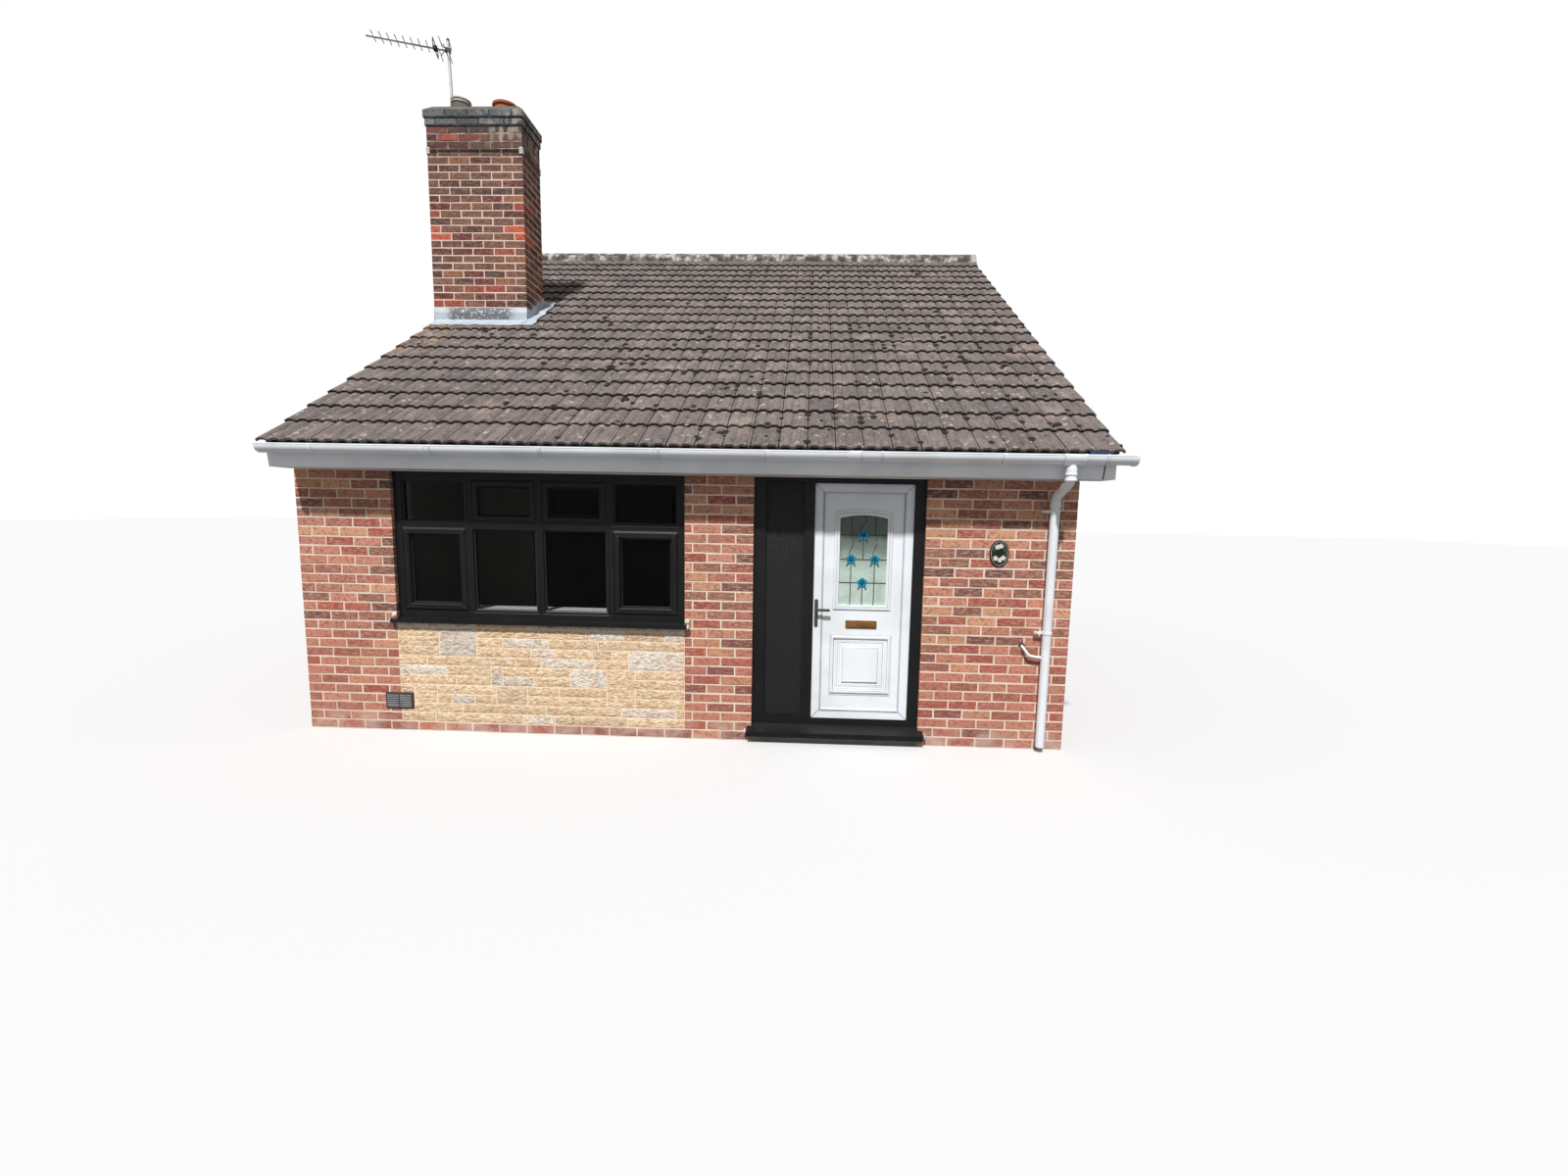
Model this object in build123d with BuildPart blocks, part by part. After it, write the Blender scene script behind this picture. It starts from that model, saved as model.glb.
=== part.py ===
"""A brick bungalow, one half of a pair, from ground level up.

It ends at a plain party wall on the left (-X) and at a gable on the right (+X).
The front looks along -Y, +Z is up, and the origin is on the ground at the middle
of the plan. All sizes are in millimetres.
"""

import os
from math import atan2, cos, degrees, pi, radians, sin, tan

from build123d import *

os.makedirs("parts", exist_ok=True)

# Plan
house_width = 6085
house_depth = 8900
wall_thickness = 265
inner_leaf = 100
brick_course = 75

# Openings along the front: the wide window takes what the piers and the door leave
gable_to_door = 1128
door_opening = 1327
middle_pier = 535
party_to_window = 765
lintel_bearing = 150

# Openings along the rear
rear_pier = 850
rear_small_opening = 1190
rear_middle_pier = 700

# Levels above the ground, in brick courses where the bricks set them
half_joint = 5
floor_level = 2 * brick_course
window_seat = 12 * brick_course + half_joint
head_level = 28 * brick_course
outer_leaf_top = 30 * brick_course
plate_height = 75
plate_bed = 25
ceiling_thickness = 100
ceiling_below_plate = 35
ceiling_gap = 12
door_seat = 60
stone_foot = brick_course + half_joint
stone_thickness = 100

# Roof
roof_pitch = 32
tile_edge_run = 300
tile_edge_above_soffit = 218
tile_gauge = 280
cover_thickness = 60
tile_nose = 20
tile_thickness = 26
deck_thickness = 100
verge_overhang = 165
ridge_radius = 125
ridge_tile_thickness = 18

# Eaves and verge boards
fascia_run = 250
board_thickness = 18
soffit_above_head = 5
soffit_thickness = 10
tile_past_board = 15
barge_depth = 150

# Gutters and pipes
gutter_radius = 56
gutter_wall = 4
gutter_back_gap = 4
gutter_drop = 26
gutter_past_verge = 90
bracket_spacing = 835
bracket_from_party = 419
bracket_width = 22
bracket_thickness = 5
union_from_gable = 1714
union_width = 90
outlet_width = 130
stop_end_width = 28
pipe_radius = 34
pipe_sides = 20
pipe_wall = 3
pipe_gap = 22
pipe_from_gable = 186
pipe_foot = 45
neck_below_soffit = 20
neck_drop = 110
neck_ease = 32
socket_height = 40
socket_below_neck = 60
clip_height = 26
upper_clip_below_soffit = 245
lower_clip_above_foot = 890
overflow_radius = 11
overflow_length = 120
overflow_drop = 68
overflow_level = 838
overflow_from_pipe = 175
overflow_standoff = 16

# Chimney
stack_width = 1002.5
stack_depth = 440
stack_front_run = 2070
stack_foot = 40 * brick_course
stack_above_apex = 443
cap_step = 22
flaunching_height = 65
flaunching_inset = 70
flue_offset = 238
pot_sides = 36
pot_radius = 94
pot_height = 212
collar_proud = 6
collar_ring_height = 12
collar_ring_spacing = 24
clay_pot_radius = 128
clay_pot_height = 185
lid_overhang = 14
lid_edge_height = 22
lid_rise = 24
lid_crown_radius = 84
lead_thickness = 5
lead_upstand = 110
lead_apron = 160
lead_flange = 120

# Aerial
mast_radius = 12.5
mast_from_party = 50
mast_past_cap = 10
mast_height = 1500
mast_below_lashing = 105
lashing_below_top = 249
lashing_thickness = 3
boom_below_top = 114
boom_length = 800
boom_half_width = 8
boom_heading = 198
director_count = 8
director_length = 190
rod_thickness = 8
dipole_from_mast = 130
dipole_length = 250
dipole_height = 28
dipole_width = 16
reflector_from_mast = 30
reflector_height = 210
reflector_length = 285
reflector_tilt = 35

# Window parts
frame_setback = 35
frame_depth = 70
frame_face = 64
mullion_face = 58
transom_below_head = 414
sash_face = 50
sash_proud = 12
sash_bevel = 8
sash_depth = 60
glass_thickness = 24
glass_inset = 22
sill_height = 34
sill_projection = 55
sill_horn = 22
board_nose = 40
board_height = 22
window_bays = 4
small_window_bays = 2

# Front door
door_left_stile = 95
sidelight_width = 298
door_mullion = 68
door_right_stile = 79
door_head = 32
door_foot_rail = 45
side_bead = 30
door_sill_height = 80
door_sill_projection = 70
door_sill_horn = 35
leaf_gap = 5
latch_gap = 9
stop_thickness = 12
stop_lap = 4
leaf_border = 77
leaf_border_step = 6
lower_panel_width = 469
lower_panel_foot = 211
lower_panel_height = 467
lower_panel_rim = 20
lower_panel_band = 92
door_light_width = 369
door_light_above_panel = 246
door_light_below_head = 243
door_light_rise = 25
moulding_face = 39
moulding_proud = 9
moulding_bevel = 5
door_glass_inset = 14
handle_level = 857
handle_inset = 30
handle_plate_height = 220
handle_plate_width = 28
handle_plate_thickness = 8
lever_length = 118
lever_height = 20
lever_thickness = 12
lever_standoff = 52
letterplate_above_panel = 92
letterplate_width = 247
letterplate_height = 64
letterplate_thickness = 6
flap_end_margin = 15
flap_edge_margin = 7
flap_proud = 3
hinge_count = 3
hinge_pin_radius = 5
hinge_barrel_radius = 9
hinge_height = 110
hinge_clearance = 1
hinge_flag = 48
hinge_flag_thickness = 4
pin_clearance = 0.3

# Small things on the front wall
vent_width = 229
vent_height = 132
vent_level = 2.5 * brick_course
vent_past_window = 8.5
vent_proud = 14
vent_bevel = 3.5
louvre_count = 6
louvre_length = 197
louvre_slot = 9.4
louvre_depth = 8.4
plaque_sides = 40
plaque_width = 150
plaque_height = 205
plaque_level = 1547
plaque_from_gable = 567
plaque_proud = 14
plaque_bevel = 4.5

# Lines worked out from the sizes above
party_x = -house_width / 2
gable_x = house_width / 2
front_y = -house_depth / 2
party_inner_x = party_x + wall_thickness
gable_inner_x = gable_x - wall_thickness
front_inner_y = front_y + wall_thickness
cavity_y = front_inner_y - inner_leaf
verge_x = gable_x + verge_overhang
barge_x = verge_x - tile_past_board
barge_inner_x = barge_x - board_thickness
door_right = gable_x - gable_to_door
door_left = door_right - door_opening
window_right = door_left - middle_pier
window_left = party_x + party_to_window
window_opening = window_right - window_left
slope = tan(radians(roof_pitch))
rise = 1 / cos(radians(roof_pitch))
soffit_level = head_level + soffit_above_head
tile_edge_level = soffit_level + tile_edge_above_soffit
fascia_y = front_y - fascia_run
fascia_back_y = fascia_y + board_thickness
stack_front_y = front_y + stack_front_run
stack_back_y = stack_front_y + stack_depth
stack_right_x = party_x + stack_width


def cover_level(y, lift=0.0):
    """Level of a plane parallel to the front slope, lift above the roof deck."""
    top = tile_edge_level + (y - front_y + tile_edge_run) * slope
    return top - (cover_thickness - lift) * rise


inner_leaf_top = cover_level(cavity_y, -deck_thickness) - plate_bed
plate_top = inner_leaf_top + plate_height
stack_top = cover_level(0, cover_thickness) + stack_above_apex


def prism_x(points, start, end):
    """A solid of one YZ outline that runs along the house from start to end."""
    with BuildPart() as prism:
        with BuildSketch(Plane.YZ.offset(start)):
            with BuildLine():
                Polyline(*points, close=True)
            make_face()
        extrude(amount=end - start)
    return prism.part


def block(low, high):
    """A rectangular block between two opposite corners."""
    with BuildPart() as solid:
        with BuildSketch(Plane.XY.offset(low[2])):
            with Locations(((low[0] + high[0]) / 2, (low[1] + high[1]) / 2)):
                Rectangle(high[0] - low[0], high[1] - low[1])
        extrude(amount=high[2] - low[2])
    return solid.part


def front_wall_prism(start, end, foot):
    """Front cavity wall: the outer leaf stops at the soffit, the inner one carries the plate."""
    outline = [
        (front_y, foot),
        (front_y, outer_leaf_top),
        (cavity_y, outer_leaf_top),
        (cavity_y, inner_leaf_top),
        (front_inner_y, inner_leaf_top),
        (front_inner_y, foot),
    ]
    return prism_x(outline, start, end)


def gable_outline():
    """The end wall's outline, up to the underside of the roof deck."""
    eaves = cover_level(front_y, -deck_thickness)
    apex = cover_level(0, -deck_thickness)
    return [(front_y, 0), (front_y, eaves), (0, apex), (-front_y, eaves), (-front_y, 0)]


# Floor slab, with the threshold under the front door
frame_back_y = front_y + frame_setback + frame_depth

with BuildPart() as floor_slab:
    add(block((party_inner_x, front_inner_y, 0), (gable_inner_x, -front_inner_y, floor_level)))
    add(block((door_left, frame_back_y, 0), (door_right, front_inner_y, floor_level)))
    add(block((door_left, front_y, 0), (door_right, frame_back_y, door_seat)))

# Wall plates on the inner leaves
with BuildPart() as wall_plates:
    add(
        block(
            (party_inner_x, cavity_y, inner_leaf_top),
            (gable_inner_x, front_inner_y, plate_top),
        )
    )
    mirror(about=Plane.XZ)

# Roof deck, the rafters and felt of one slope taken as a slab
deck_outline = [
    (fascia_back_y, cover_level(fascia_back_y, -deck_thickness)),
    (fascia_back_y, cover_level(fascia_back_y)),
    (0, cover_level(0)),
    (0, cover_level(0, -deck_thickness)),
]

# Chimney stack, standing on the party wall and on its breast in the room
with BuildPart() as chimney_stack:
    add(block((party_x, stack_front_y, stack_foot), (stack_right_x, stack_back_y, stack_top)))

with BuildPart() as chimney_breast:
    add(
        block(
            (party_inner_x, stack_front_y, floor_level),
            (stack_right_x, stack_back_y, stack_foot),
        )
    )

with BuildPart() as roof_deck_front:
    add(prism_x(deck_outline, party_x, barge_inner_x))
    add(wall_plates.part, mode=Mode.SUBTRACT)
    add(chimney_stack.part, mode=Mode.SUBTRACT)

with BuildPart() as roof_deck_rear:
    add(prism_x(deck_outline, party_x, barge_inner_x))
    mirror(about=Plane.XZ, mode=Mode.REPLACE)
    add(wall_plates.part, mode=Mode.SUBTRACT)

# Party wall and gable wall
with BuildPart() as party_wall:
    add(prism_x(gable_outline(), party_x, party_inner_x))
    add(chimney_stack.part, mode=Mode.SUBTRACT)

with BuildPart() as gable_wall:
    add(prism_x(gable_outline(), gable_inner_x, gable_x))

# Front wall, split at its openings, with one beam over them all
with BuildPart() as front_beam:
    add(front_wall_prism(window_left - lintel_bearing, door_right + lintel_bearing, head_level))

with BuildPart() as front_wall_left:
    add(front_wall_prism(party_inner_x, window_left, 0))
    add(front_beam.part, mode=Mode.SUBTRACT)

with BuildPart() as front_wall_middle:
    add(front_wall_prism(window_right, door_left, 0))
    add(front_beam.part, mode=Mode.SUBTRACT)

with BuildPart() as front_wall_right:
    add(front_wall_prism(door_right, gable_inner_x, 0))
    add(front_beam.part, mode=Mode.SUBTRACT)

stone_back_y = front_y + stone_thickness

with BuildPart() as stone_panel:
    add(block((window_left, front_y, stone_foot), (window_right, stone_back_y, window_seat)))

with BuildPart() as front_wall_under_window:
    add(block((window_left, front_y, 0), (window_right, front_inner_y, window_seat)))
    add(stone_panel.part, mode=Mode.SUBTRACT)

# Rear wall with its two windows: the wide one repeats the front's
rear_window_right = party_inner_x + rear_pier + window_opening
rear_window_left = party_inner_x + rear_pier
small_window_left = rear_window_right + rear_middle_pier
small_window_right = small_window_left + rear_small_opening

with BuildPart() as rear_wall:
    add(front_wall_prism(party_inner_x, gable_inner_x, 0))
    for start, end in (
        (rear_window_left, rear_window_right),
        (small_window_left, small_window_right),
    ):
        add(
            block((start, front_y, window_seat), (end, front_inner_y, head_level)),
            mode=Mode.SUBTRACT,
        )
    mirror(about=Plane.XZ, mode=Mode.REPLACE)

# Ceiling, hung between the wall plates under the rafters
ceiling_foot = plate_top - ceiling_below_plate
ceiling_top = ceiling_foot + ceiling_thickness
ceiling_edge_level = cover_level(front_inner_y, -deck_thickness) - ceiling_gap
ceiling_edge_y = front_inner_y + (ceiling_top - ceiling_edge_level) / slope

with BuildPart() as ceiling:
    add(
        prism_x(
            [
                (front_inner_y, ceiling_foot),
                (front_inner_y, ceiling_edge_level),
                (ceiling_edge_y, ceiling_top),
                (-ceiling_edge_y, ceiling_top),
                (-front_inner_y, ceiling_edge_level),
                (-front_inner_y, ceiling_foot),
            ],
            party_inner_x,
            gable_inner_x,
        )
    )
    add(chimney_breast.part, mode=Mode.SUBTRACT)


# Tile covering: courses that lap like steps up the slope
def slope_point(along, lift):
    """A point on the front slope: along from the tile edge, lift above the deck plane."""
    angle = radians(roof_pitch)
    edge_y = front_y - tile_edge_run
    y = edge_y + along * cos(angle) - (lift - cover_thickness) * sin(angle)
    z = tile_edge_level + along * sin(angle) + (lift - cover_thickness) * cos(angle)
    return (y, z)


slope_length = (tile_edge_run - front_y) * rise
course_count = int((slope_length - cover_thickness) / tile_gauge) + 1


def tile_cover():
    """The front slope's covering, cut plumb at the ridge."""
    points = []
    for course in range(course_count):
        start = course * tile_gauge
        if course > 0:
            points.append(slope_point(start, cover_thickness - tile_nose))
        points.append(slope_point(start, cover_thickness))
    points.append(slope_point(slope_length + cover_thickness, cover_thickness - tile_nose))
    points.append(slope_point(slope_length + cover_thickness, 0))
    points.append((fascia_y, cover_level(fascia_y)))
    points.append((fascia_y, cover_level(fascia_y, cover_thickness - tile_thickness)))
    points.append(slope_point(0, cover_thickness - tile_thickness))
    with BuildPart() as cover:
        with BuildSketch(Plane.YZ.offset(party_x)):
            with BuildLine():
                Polyline(*points, close=True)
            make_face()
        extrude(amount=verge_x - party_x)
        split(bisect_by=Plane.XZ, keep=Keep.TOP)
    return cover.part


with BuildPart() as roof_tiles_front:
    add(tile_cover())
    add(chimney_stack.part, mode=Mode.SUBTRACT)

with BuildPart() as roof_tiles_rear:
    add(tile_cover())
    mirror(about=Plane.XZ, mode=Mode.REPLACE)

# Ridge tiles, half round, bedded on both slopes
ridge_axis_level = cover_level(0, cover_thickness) - ridge_radius * sin(radians(roof_pitch))

with BuildPart() as ridge_tiles:
    with BuildSketch(Plane.YZ.offset(party_x)):
        with Locations((0, ridge_axis_level)):
            Circle(ridge_radius + ridge_tile_thickness)
            Rectangle(
                4 * ridge_radius,
                2 * ridge_radius,
                align=(Align.CENTER, Align.MAX),
                mode=Mode.SUBTRACT,
            )
    extrude(amount=verge_x - party_x)
    for covering in (roof_tiles_front, roof_tiles_rear):
        add(covering.part, mode=Mode.SUBTRACT)

# Fascias and soffits along both eaves
with BuildPart() as fascias:
    add(
        block(
            (party_x, fascia_y, soffit_level),
            (barge_x, fascia_back_y, cover_level(fascia_y)),
        )
    )
    mirror(about=Plane.XZ)

with BuildPart() as soffits:
    add(
        block(
            (party_x, fascia_back_y, soffit_level),
            (barge_inner_x, front_y, soffit_level + soffit_thickness),
        )
    )
    mirror(about=Plane.XZ)

# Barge boards at the gable: both slopes as one mitred board with its box ends
barge_lift = -barge_depth
with BuildPart() as barge_boards:
    with BuildSketch(Plane.YZ.offset(barge_inner_x)):
        with BuildLine():
            Polyline(
                (fascia_back_y, soffit_level),
                (fascia_back_y, cover_level(fascia_back_y)),
                (0, cover_level(0)),
                (0, cover_level(0, barge_lift)),
                (front_y, cover_level(front_y, barge_lift)),
                (front_y, soffit_level),
                close=True,
            )
        make_face()
        mirror(about=Plane.YZ)
    extrude(amount=board_thickness)

# Lining under the verge, between the gable wall and the barge boards
with BuildPart() as verge_lining:
    lining_lift = -deck_thickness - soffit_thickness
    with BuildSketch(Plane.YZ.offset(gable_x)):
        with BuildLine():
            Polyline(
                (front_y, soffit_level + soffit_thickness),
                (front_y, cover_level(front_y, -deck_thickness)),
                (0, cover_level(0, -deck_thickness)),
                (0, cover_level(0, lining_lift)),
                (front_y + soffit_thickness, cover_level(front_y + soffit_thickness, lining_lift)),
                (front_y + soffit_thickness, soffit_level + soffit_thickness),
                close=True,
            )
        make_face()
        mirror(about=Plane.YZ)
    extrude(amount=barge_inner_x - gable_x)

# Half-round gutters with stop ends, and the brackets that carry them
gutter_y = fascia_y - gutter_back_gap - gutter_radius
gutter_level = cover_level(fascia_y) - gutter_drop
gutter_end_x = verge_x + gutter_past_verge
gutter_length = gutter_end_x - party_x


def half_disc(radius, level):
    """The lower half of a disc about the gutter's axis, drawn in a YZ sketch."""
    with Locations((gutter_y, level)):
        Circle(radius)
        Rectangle(3 * radius, 2 * radius, align=(Align.CENTER, Align.MIN), mode=Mode.SUBTRACT)


with BuildPart() as gutters:
    with BuildSketch(Plane.YZ.offset(party_x)):
        half_disc(gutter_radius, gutter_level)
    extrude(amount=gutter_length)
    with BuildSketch(Plane.YZ.offset(party_x + gutter_wall)):
        with Locations((gutter_y, gutter_level)):
            Circle(gutter_radius - gutter_wall)
    extrude(amount=gutter_length - 2 * gutter_wall, mode=Mode.SUBTRACT)
    mirror(about=Plane.XZ)

pipe_x = gable_x - pipe_from_gable
bracket_first = party_x + bracket_from_party
bracket_count = int((barge_x - bracket_first) / bracket_spacing) + 1


def gutter_band(middle, width, on_fascia=True):
    """A band round the gutter, with a back plate where it is screwed to the fascia."""
    with BuildPart() as band:
        with BuildSketch(Plane.YZ.offset(middle - width / 2)):
            half_disc(gutter_radius + bracket_thickness, gutter_level)
            if on_fascia:
                with Locations((fascia_y, gutter_level - gutter_radius / 2)):
                    Rectangle(
                        gutter_back_gap + bracket_thickness,
                        gutter_radius,
                        align=(Align.MAX, Align.CENTER),
                    )
            with Locations((gutter_y, gutter_level)):
                Circle(gutter_radius, mode=Mode.SUBTRACT)
            with Locations((fascia_y, gutter_level)):
                Rectangle(
                    4 * gutter_radius,
                    4 * gutter_radius,
                    align=(Align.MIN, Align.CENTER),
                    mode=Mode.SUBTRACT,
                )
        extrude(amount=width)
    return band.part


# Brackets, one union between two lengths, the running outlet and the stop end's rim
with BuildPart() as gutter_brackets:
    for index in range(bracket_count):
        add(gutter_band(bracket_first + index * bracket_spacing, bracket_width))
    add(gutter_band(gable_x - union_from_gable, union_width))
    add(gutter_band(pipe_x, outlet_width))
    add(gutter_band(gutter_end_x - stop_end_width / 2, stop_end_width, on_fascia=False))
    mirror(about=Plane.XZ)

# Round downpipes: outlet, swan neck under the soffit, clips on the wall
pipe_y = front_y - pipe_gap - pipe_radius
outlet_level = gutter_level - gutter_radius
neck_top = soffit_level - neck_below_soffit
neck_foot = neck_top - neck_drop
sockets = [
    (gutter_y, outlet_level - socket_height),
    (pipe_y, neck_foot - socket_below_neck),
]
clip_levels = (soffit_level - upper_clip_below_soffit, pipe_foot + lower_clip_above_foot)

neck_start = Vector(pipe_x, gutter_y, neck_top)
neck_end = Vector(pipe_x, pipe_y, neck_foot)
neck_step = (neck_end - neck_start).normalized() * neck_ease

with BuildPart() as downpipes:
    with BuildLine():
        Polyline(
            (pipe_x, gutter_y, outlet_level),
            neck_start + Vector(0, 0, neck_ease),
            neck_start + neck_step,
            neck_end - neck_step,
            neck_end - Vector(0, 0, neck_ease),
            (pipe_x, pipe_y, pipe_foot),
        )
    with BuildSketch(Plane((pipe_x, gutter_y, outlet_level), z_dir=(0, 0, -1))):
        RegularPolygon(pipe_radius, pipe_sides)
    sweep(transition=Transition.RIGHT)
    for socket_y, level in sockets:
        with BuildSketch(Plane.XY.offset(level)):
            with Locations((pipe_x, socket_y)):
                RegularPolygon(pipe_radius + pipe_wall, pipe_sides)
        extrude(amount=socket_height)
    for level in clip_levels:
        with BuildSketch(Plane.XY.offset(level)):
            with Locations((pipe_x, pipe_y)):
                RegularPolygon(pipe_radius + pipe_wall, pipe_sides)
            with Locations((pipe_x, front_y)):
                Rectangle(2 * pipe_radius, pipe_gap, align=(Align.CENTER, Align.MAX))
        extrude(amount=clip_height)
    for carrier in (gutters, gutter_brackets):
        add(carrier.part, mode=Mode.SUBTRACT)
    mirror(about=Plane.XZ)

# Overflow pipe through the front wall, bent down at its end
overflow_x = pipe_x - overflow_from_pipe
overflow_y = front_y - overflow_radius - overflow_standoff

with BuildPart() as overflow_pipe:
    with BuildLine():
        Polyline(
            (overflow_x, front_y, overflow_level),
            (overflow_x, overflow_y, overflow_level),
            (overflow_x + overflow_length, overflow_y, overflow_level - overflow_drop),
        )
    with BuildSketch(Plane((overflow_x, front_y, overflow_level), z_dir=(0, -1, 0))):
        Circle(overflow_radius)
    sweep(transition=Transition.RIGHT)

# Chimney cap: two oversailing courses, then the mortar flaunching and the two pots
stack_middle_x = (party_x + stack_right_x) / 2
stack_middle_y = (stack_front_y + stack_back_y) / 2
cap_top = stack_top + 2 * brick_course

with BuildPart() as chimney_cap:
    for course, oversail in enumerate((cap_step / 2, cap_step)):
        with BuildSketch(Plane.XY.offset(stack_top + course * brick_course)):
            with Locations((stack_middle_x, stack_middle_y)):
                Rectangle(stack_width + 2 * oversail, stack_depth + 2 * oversail)
        extrude(amount=brick_course)

flue_pot_x = stack_middle_x - flue_offset
clay_pot_x = stack_middle_x + flue_offset

with BuildPart() as flue_pot:
    with BuildSketch(Plane.XY.offset(cap_top)):
        with Locations((flue_pot_x, stack_middle_y)):
            RegularPolygon(pot_radius, pot_sides)
    extrude(amount=pot_height)
    for ring in (0, 1):
        ring_top = cap_top + pot_height - ring * collar_ring_spacing
        with BuildSketch(Plane.XY.offset(ring_top)):
            with Locations((flue_pot_x, stack_middle_y)):
                RegularPolygon(pot_radius + collar_proud, pot_sides)
        extrude(amount=-collar_ring_height)

# The clay pot's lid: an overhanging edge below a low crown
lid_foot = cap_top + clay_pot_height - lid_rise - lid_edge_height
crown_run = clay_pot_radius - lid_crown_radius

with BuildPart() as clay_pot:
    with BuildSketch(Plane.XY.offset(cap_top)):
        with Locations((clay_pot_x, stack_middle_y)):
            RegularPolygon(clay_pot_radius - lid_overhang, pot_sides)
    extrude(amount=lid_foot - cap_top)
    with BuildSketch(Plane.XY.offset(lid_foot)):
        with Locations((clay_pot_x, stack_middle_y)):
            RegularPolygon(clay_pot_radius, pot_sides)
    extrude(amount=lid_edge_height)
    with BuildSketch(Plane.XY.offset(lid_foot + lid_edge_height)):
        with Locations((clay_pot_x, stack_middle_y)):
            RegularPolygon(clay_pot_radius, pot_sides)
    extrude(amount=lid_rise, taper=degrees(atan2(crown_run, lid_rise)))

with BuildPart() as flaunching:
    with BuildSketch(Plane.XY.offset(cap_top)):
        with Locations((stack_middle_x, stack_middle_y)):
            Rectangle(stack_width + 2 * cap_step, stack_depth + 2 * cap_step)
    extrude(amount=flaunching_height, taper=degrees(atan2(flaunching_inset, flaunching_height)))
    for pot in (flue_pot, clay_pot):
        add(pot.part, mode=Mode.SUBTRACT)

# Lead round the stack: a flange on the tiles, an apron in front and steps up the side
lead_foot_y = stack_front_y - lead_apron
lead_head_y = stack_back_y + lead_flange
lead_right_x = stack_right_x + lead_flange
lead_lift = cover_thickness + lead_thickness
step_run = brick_course / slope
step_count = int(stack_depth / step_run) + 1

with BuildPart() as chimney_flashing:
    add(
        prism_x(
            [
                (lead_foot_y, cover_level(lead_foot_y, cover_thickness)),
                (lead_foot_y, cover_level(lead_foot_y, lead_lift)),
                (lead_head_y, cover_level(lead_head_y, lead_lift)),
                (lead_head_y, cover_level(lead_head_y, cover_thickness)),
            ],
            party_x,
            lead_right_x,
        )
    )
    apron_foot = cover_level(stack_front_y, cover_thickness)
    add(
        block(
            (party_x, stack_front_y - lead_thickness, apron_foot),
            (stack_right_x + lead_thickness, stack_front_y, apron_foot + lead_upstand),
        )
    )
    for step in range(step_count):
        step_y = stack_front_y + step * step_run
        step_end_y = min(step_y + step_run, stack_back_y)
        step_top = apron_foot + lead_upstand + step * brick_course
        add(
            prism_x(
                [
                    (step_y, cover_level(step_y, cover_thickness)),
                    (step_y, step_top),
                    (step_end_y, step_top),
                    (step_end_y, cover_level(step_end_y, cover_thickness)),
                ],
                stack_right_x,
                stack_right_x + lead_thickness,
            )
        )
    back_foot = cover_level(stack_back_y, cover_thickness)
    add(
        block(
            (party_x, stack_back_y, back_foot),
            (stack_right_x + lead_thickness, stack_back_y + lead_thickness, back_foot + lead_upstand),
        )
    )
    add(chimney_stack.part, mode=Mode.SUBTRACT)

# Aerial: lashed round the stack, its mast standing behind it
mast_x = party_x + mast_from_party
mast_gap = cap_step + mast_past_cap
mast_y = stack_back_y + mast_gap + mast_radius
lashing_level = stack_top - lashing_below_top
mast_foot = lashing_level - mast_below_lashing
boom_level = mast_foot + mast_height - boom_below_top
heading = (cos(radians(boom_heading)), sin(radians(boom_heading)), 0)
boom_plane = Plane((mast_x, mast_y, boom_level), x_dir=heading, z_dir=(0, 0, 1))
director_spacing = (boom_length - dipole_from_mast) / (director_count + 1)

with BuildPart() as aerial:
    with Locations((mast_x, mast_y, mast_foot)):
        Cylinder(mast_radius, mast_height, align=(Align.CENTER, Align.CENTER, Align.MIN))
    with BuildSketch(Plane.XY.offset(lashing_level)):
        with Locations((stack_middle_x, stack_middle_y)):
            Rectangle(stack_width + 2 * lashing_thickness, stack_depth + 2 * lashing_thickness)
            Rectangle(stack_width, stack_depth, mode=Mode.SUBTRACT)
        with Locations((mast_x, stack_back_y)):
            Rectangle(4 * mast_radius, mast_gap + mast_radius, align=(Align.CENTER, Align.MIN))
    extrude(amount=2 * mast_radius)
    with Locations(boom_plane):
        Box(
            boom_length,
            2 * boom_half_width,
            2 * boom_half_width,
            align=(Align.MIN, Align.CENTER, Align.CENTER),
        )
    for index in range(1, director_count + 1):
        with Locations(boom_plane.location * Pos(dipole_from_mast + index * director_spacing, 0, 0)):
            Box(rod_thickness, director_length, rod_thickness)
    with Locations(boom_plane.location * Pos(dipole_from_mast, 0, 0)):
        Box(dipole_width, dipole_length, dipole_height)
    for tilt in (-reflector_tilt, reflector_tilt):
        with Locations(boom_plane.location * Pos(reflector_from_mast, 0, 0) * Rot(0, tilt, 0)):
            Box(rod_thickness, 2 * boom_half_width, reflector_height)
            for end in (-1, 1):
                with Locations((0, 0, end * (reflector_height - rod_thickness) / 2)):
                    Box(rod_thickness, reflector_length, rod_thickness)

# Windows: each one a frame with mullions and a transom, and sashes where it opens
windows = [
    (window_left, window_right, window_bays, False),
    (rear_window_left, rear_window_right, window_bays, True),
    (small_window_left, small_window_right, small_window_bays, True),
]
frame_foot = window_seat + sill_height
transom_level = head_level - transom_below_head


def wall_plane(inset):
    """A plane parallel to the front wall, inset behind its face, drawn as X and Z."""
    return Plane.XZ.offset(-(front_y + inset))


def placed(part, at_rear):
    """The part as drawn in the front wall, or its mirror image in the rear wall."""
    return part.mirror(Plane.XZ) if at_rear else part


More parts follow.
